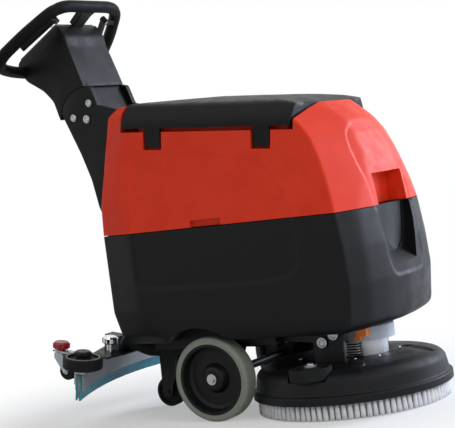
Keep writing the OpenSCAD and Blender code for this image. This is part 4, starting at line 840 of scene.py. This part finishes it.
# Bolts of the lift arms, on a washer outside the two brackets.
BRACKET_FACE = 121
bolt = [(0, -1), (13, -1), (13, 1.4), (12, 2), (8.4, 2), (8, 4.2), (5.2, 4.6), (5, 2.4), (0, 2.4)]
for x, z in ((BRUSH_X - 2, 161), (BRUSH_X + 29, 178)):
    for side, axis in ((1, "Y"), (-1, "-Y")):
        deck_parts.append(turned("bracket_bolt", bolt, at(x, side * BRACKET_FACE, z, axis), zinc_plate, 0.4,
                                 around=36))
# A stack of fins round a pale core, beside the gear housing.
FINS, FIN_LOW, FIN_HIGH = 6, 118, 152
for k in range(FINS):
    z = FIN_LOW + 1 + k * (FIN_HIGH - FIN_LOW - 4) / (FINS - 1)
    deck_parts.append(slab("fin", rectangle(315, -62, 349, -47), 2.6, at(0, 0, z), black_nylon, 3, 0.5))
deck_parts.append(slab("fin_core", rectangle(319, -59, 345, -47), FIN_HIGH - FIN_LOW, at(0, 0, FIN_LOW),
                       pale_polypropylene, 2, 0.5))
settle(joined("deck_fittings", deck_parts), "deck", "steel")


# ------------------------------ bristles
def tuft_tree(material):
    """Geometry nodes: one splayed tuft of bristles on each point."""
    tree = bpy.data.node_groups.new("bristle_tufts", "GeometryNodeTree")
    tree.interface.new_socket("Geometry", in_out="INPUT", socket_type="NodeSocketGeometry")
    for name, value in (("tuft height", 0.036), ("root radius", 0.0048), ("tip radius", 0.0068)):
        tree.interface.new_socket(name, in_out="INPUT", socket_type="NodeSocketFloat").default_value = value
    tree.interface.new_socket("seed", in_out="INPUT", socket_type="NodeSocketInt").default_value = 5
    tree.interface.new_socket("Geometry", in_out="OUTPUT", socket_type="NodeSocketGeometry")
    given = add(tree, "NodeGroupInput").outputs
    tuft = add(tree, "GeometryNodeMeshCone", {
        "Vertices": 10, "Side Segments": 3, "Radius Top": given["root radius"],
        "Radius Bottom": given["tip radius"], "Depth": given["tuft height"]})
    turn, size = (add(tree, "FunctionNodeRandomValue", {0: least, 1: most, "Seed": given["seed"]},
                      data_type="FLOAT_VECTOR")
                  for least, most in (((-0.035, -0.035, 0.0), (0.035, 0.035, 3.1)),
                                      ((0.88, 0.88, 0.96), (1.04, 1.04, 1.0))))
    placed = add(tree, "GeometryNodeInstanceOnPoints", {
        "Points": given["Geometry"], "Instance": tuft.outputs["Mesh"], "Rotation": turn.outputs[0],
        "Scale": size.outputs[0]})
    real = add(tree, "GeometryNodeRealizeInstances", {"Geometry": placed.outputs["Instances"]})
    painted = add(tree, "GeometryNodeSetMaterial", {
        "Geometry": real.outputs["Geometry"], "Material": material})
    add(tree, "NodeGroupOutput", {"Geometry": painted.outputs["Geometry"]})
    return tree


TUFT_PITCH, TUFT_Z = 14, 1.4
tuft_mesh = bpy.data.meshes.new("tuft_places")
places = []
for ring, radius in enumerate((221.5, 208, 194, 180, 166, 152, 138, 126)):
    count = round(math.tau * radius / TUFT_PITCH)
    places += [((BRUSH_X + radius * math.cos(a)) * MM, radius * math.sin(a) * MM, TUFT_Z * MM)
               for a in angles(count, 0.5 * (ring % 2))]
tuft_mesh.from_pydata(places, [], [])
tufts = linked("bristle_tufts", tuft_mesh)
tufts.modifiers.new("tufts", "NODES").node_group = tuft_tree(white_nylon)
apply_modifiers(tufts)
for face in tufts.data.polygons:
    face.use_smooth = len(face.vertices) == 4
settle(tufts, "brush", "white_bristle", "bristles")

# ------------------------------ squeegee
LIFT_ANGLE = math.radians(11.5)
PIVOT = Vector((AXLE_X + 122, 0, 158))
LIFT = Matrix.Translation(PIVOT) @ Matrix.Rotation(LIFT_ANGLE, 4, "Y") @ Matrix.Translation(-PIVOT)
FRONT_X, HALF, FRONT_CURVE, BLADE_GAP, COVER_TOP = AXLE_X - 336, 326, 930, 30, 76
rear_rise = FRONT_CURVE - math.sqrt(FRONT_CURVE ** 2 - HALF ** 2) + BLADE_GAP - 10
REAR_CURVE = (HALF ** 2 + rear_rise ** 2) / (2 * rear_rise)
BLADE_T, BLADE_TOP = 4.0, 62.0


def front_arc(y):
    """How far forward the front blade stands at y."""
    return FRONT_X + FRONT_CURVE - math.sqrt(FRONT_CURVE ** 2 - y * y)


def rear_arc(y):
    """The same for the rear blade."""
    return FRONT_X - BLADE_GAP + REAR_CURVE - math.sqrt(REAR_CURVE ** 2 - y * y)


def blade(name, arc, pitch, notch_w, notch_h):
    """A rubber strip along an arc, with small notches in its lower edge that let the water in."""
    centres = np.arange(-HALF + pitch / 2, HALF, pitch)
    ys = sorted({round(y, 3) for y in np.linspace(-HALF, HALF, 164)} | {
        round(y + s * notch_w / 2, 3) for y in centres for s in (-1, 1)})
    bm = bmesh.new()
    rows = [[bm.verts.new((arc(y), y, z)) for z in (0.0, notch_h, 24.0, BLADE_TOP)] for y in ys]
    for (ya, a), (yb, b) in zip(zip(ys, rows), zip(ys[1:], rows[1:])):
        open_here = min(abs(centres - (ya + yb) / 2)) < notch_w / 2
        for k in range(1 if open_here else 0, 3):
            bm.faces.new((a[k], b[k], b[k + 1], a[k + 1]))
    for vert in [v for v in bm.verts if not v.link_faces]:
        bm.verts.remove(vert)
    bmesh.ops.recalc_face_normals(bm, faces=bm.faces)
    made = keep(name, bm, teal_urethane)
    wall = made.modifiers.new("wall", "SOLIDIFY")
    wall.thickness = BLADE_T
    wall.offset = 0.0
    apply_modifiers(made)
    made.data.transform(Matrix.Scale(MM, 4) @ LIFT)
    return made


settle(blade("front_blade_strip", front_arc, 48, 4, 5), "squeegee", "teal_rubber", "front_blade")


def clamp_rail():
    """The cast rail in front of the blade, with an end cap over both blades at each side."""
    ys = np.linspace(-HALF + 1, HALF - 1, 90)
    rail = [(front_arc(y) + 6.5, y) for y in ys] + [(front_arc(y) + 2.4, y) for y in ys[::-1]]
    parts = [slab("rail", rail, 38, LIFT @ at(0, 0, 25), cast_aluminium, edge=1.2, ring=False)]
    for side in (1, -1):
        x0, x1 = rear_arc(HALF) - 6, front_arc(HALF) + 9
        parts.append(slab("cap", rectangle(x0, side * (HALF - 15), x1, side * (HALF - 1)), 38,
                          LIFT @ at(0, 0, 24), grey_nylon, 3, 1.5))
    return joined("squeegee_clamp", parts)


settle(clamp_rail(), "squeegee", "steel")
for side in (1, -1):
    name = "left" if side > 0 else "right"
    end = LIFT @ at(front_arc(HALF - 19), side * (HALF - 18.5), COVER_TOP + 28)
    settle(turned(f"roller_ring_{name}", [(37.6, -1.5), (39, 0.7), (40.6, 0.7), (42, -1.5)], end,
                  roller_ring_paint, 0.5, True), f"end_roller_{name}", "rim_plastic")

# ------------------------------ suction hose
HOSE_Y, HOSE_R, BORE_R = -96, 15, 11.5
socket_x = (front_arc(HOSE_Y) + rear_arc(HOSE_Y)) / 2
hose_start = LIFT @ Vector((socket_x + 34, HOSE_Y, COVER_TOP + 19))
hose_way = Vector((math.cos(LIFT_ANGLE), 0, -math.sin(LIFT_ANGLE)))
hose_end = Vector((-172, HOSE_Y, FLOOR - 31))
STRAIGHT = 2 * HOSE_R


def hose_at(t):
    """The middle of the hose: straight out of the socket, a smooth bend, straight into the tank."""
    if t < 0.25:
        return hose_start + hose_way * STRAIGHT * t * 4
    if t > 0.75:
        return hose_end + Vector((STRAIGHT * (t - 1) * 4, 0, 0))
    a, b = hose_start + hose_way * STRAIGHT, hose_end - Vector((STRAIGHT, 0, 0))
    s, reach = t * 2 - 0.5, (b - a).length
    return ((2 * s ** 3 - 3 * s * s + 1) * a + (s ** 3 - 2 * s * s + s) * reach * hose_way
            + (3 * s * s - 2 * s ** 3) * b + (s ** 3 - s * s) * reach * Vector((1, 0, 0)))


def ribbed_hose(ribs=24, per_rib=6, sides=32):
    """A hose with round ribs outside and a smooth bore; a flat ring closes each end of its wall."""
    bm = bmesh.new()
    groove_r = BORE_R + 1.5
    count = ribs * per_rib
    path = [hose_at(i / count) for i in range(count + 1)]
    across = Vector((0, -1, 0))
    outer, bore = [], []
    for i, here in enumerate(path):
        above = (path[min(i + 1, count)] - path[max(i - 1, 0)]).normalized().cross(across)
        crest = (0.5 + 0.5 * math.cos(math.tau * i / per_rib)) ** 0.7
        outer.append((here, above, groove_r + (HOSE_R - groove_r) * crest))
        bore.append((here, above, BORE_R))
    verts = [[bm.verts.new((here + radius * (math.cos(a) * above + math.sin(a) * across)) * MM)
              for a in angles(sides)] for here, above, radius in outer + bore[::-1]]
    for low, high in zip(verts, verts[1:] + verts[:1]):
        bridge(bm, low, high)
    bmesh.ops.recalc_face_normals(bm, faces=bm.faces)
    return keep("ribbed_hose", bm, black_rubber, math.radians(60))


hose = ribbed_hose()
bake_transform(hose)
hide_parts("suction_hose")


# ------------------------------ light and floor
def area_light(name, place, aim, size, power, colour="#FFFFFF"):
    """A rectangular lamp at a place, facing the point it aims at."""
    data = bpy.data.lights.new(name, "AREA")
    data.shape = "RECTANGLE"
    data.size, data.size_y = size
    data.energy = power
    data.color = linear(colour)[:3]
    turn = (Vector(place) - Vector(aim)).to_track_quat("Z", "Y").to_matrix().to_4x4()
    linked(name, data).matrix_world = Matrix.Translation(place) @ turn


area_light("window", (2.2, 2.5, 1.5), (0.4, 0.0, 0.45), (1.8, 1.8), 125, "#DFEAFF")
area_light("key", (3.0, -1.3, 1.9), (0.2, 0.0, 0.5), (1.4, 1.4), 26)
area_light("top", (-0.4, 0.2, 3.0), (0.0, 0.0, 0.5), (1.6, 1.6), 9)

# The backdrop is white to the camera, in mirrors and through glass, and lights the machine less than that.
world = bpy.data.worlds.new("studio")
world.use_nodes = True
scene.world = world
tree = world.node_tree
tree.nodes.clear()
rays = add(tree, "ShaderNodeLightPath").outputs
seen = add(tree, "ShaderNodeMath", {0: rays["Is Camera Ray"], 1: rays["Is Glossy Ray"]}, operation="MAXIMUM")
seen = add(tree, "ShaderNodeMath", {0: seen.outputs[0], 1: rays["Is Transmission Ray"]}, operation="MAXIMUM")
plain = add(tree, "ShaderNodeBackground", {"Color": linear("#FFFFFF"), "Strength": 0.42})
white = add(tree, "ShaderNodeBackground", {"Color": linear("#FFFFFF"), "Strength": 1.0})
both = add(tree, "ShaderNodeMixShader", {0: seen.outputs[0], 1: plain.outputs[0], 2: white.outputs[0]})
add(tree, "ShaderNodeOutputWorld", {"Surface": both.outputs[0]})
scene.view_settings.view_transform = "Standard"

# A pale floor: near the machine it takes the shadow, and further off it melts into the white backdrop.
floor_paint, tree, shader, where = blank("floor_paint", Base_Color=linear("#F2F2F1"), Roughness=0.9)
rays = add(tree, "ShaderNodeLightPath").outputs
distance = add(tree, "ShaderNodeVectorMath", {0: where}, operation="LENGTH").outputs["Value"]
far_off = add(tree, "ShaderNodeMapRange", {
    "Value": distance, "From Min": 0.45, "From Max": 1.1, "To Min": 0.35, "To Max": 1.0},
    interpolation_type="SMOOTHSTEP").outputs["Result"]
fade = add(tree, "ShaderNodeMath", {0: far_off, 1: rays["Is Camera Ray"]}, operation="MULTIPLY").outputs[0]
glow = add(tree, "ShaderNodeEmission", {"Color": linear("#FFFFFF"), "Strength": 1.0}).outputs[0]
mix = add(tree, "ShaderNodeMixShader", {0: fade, 1: shader.outputs["BSDF"], 2: glow}).outputs[0]
for node in tree.nodes:
    if node.type == "OUTPUT_MATERIAL":
        tree.links.new(mix, node.inputs["Surface"])
bm = bmesh.new()
bmesh.ops.create_grid(bm, x_segments=8, y_segments=8, size=6.0)
floor = keep("floor", bm, floor_paint)
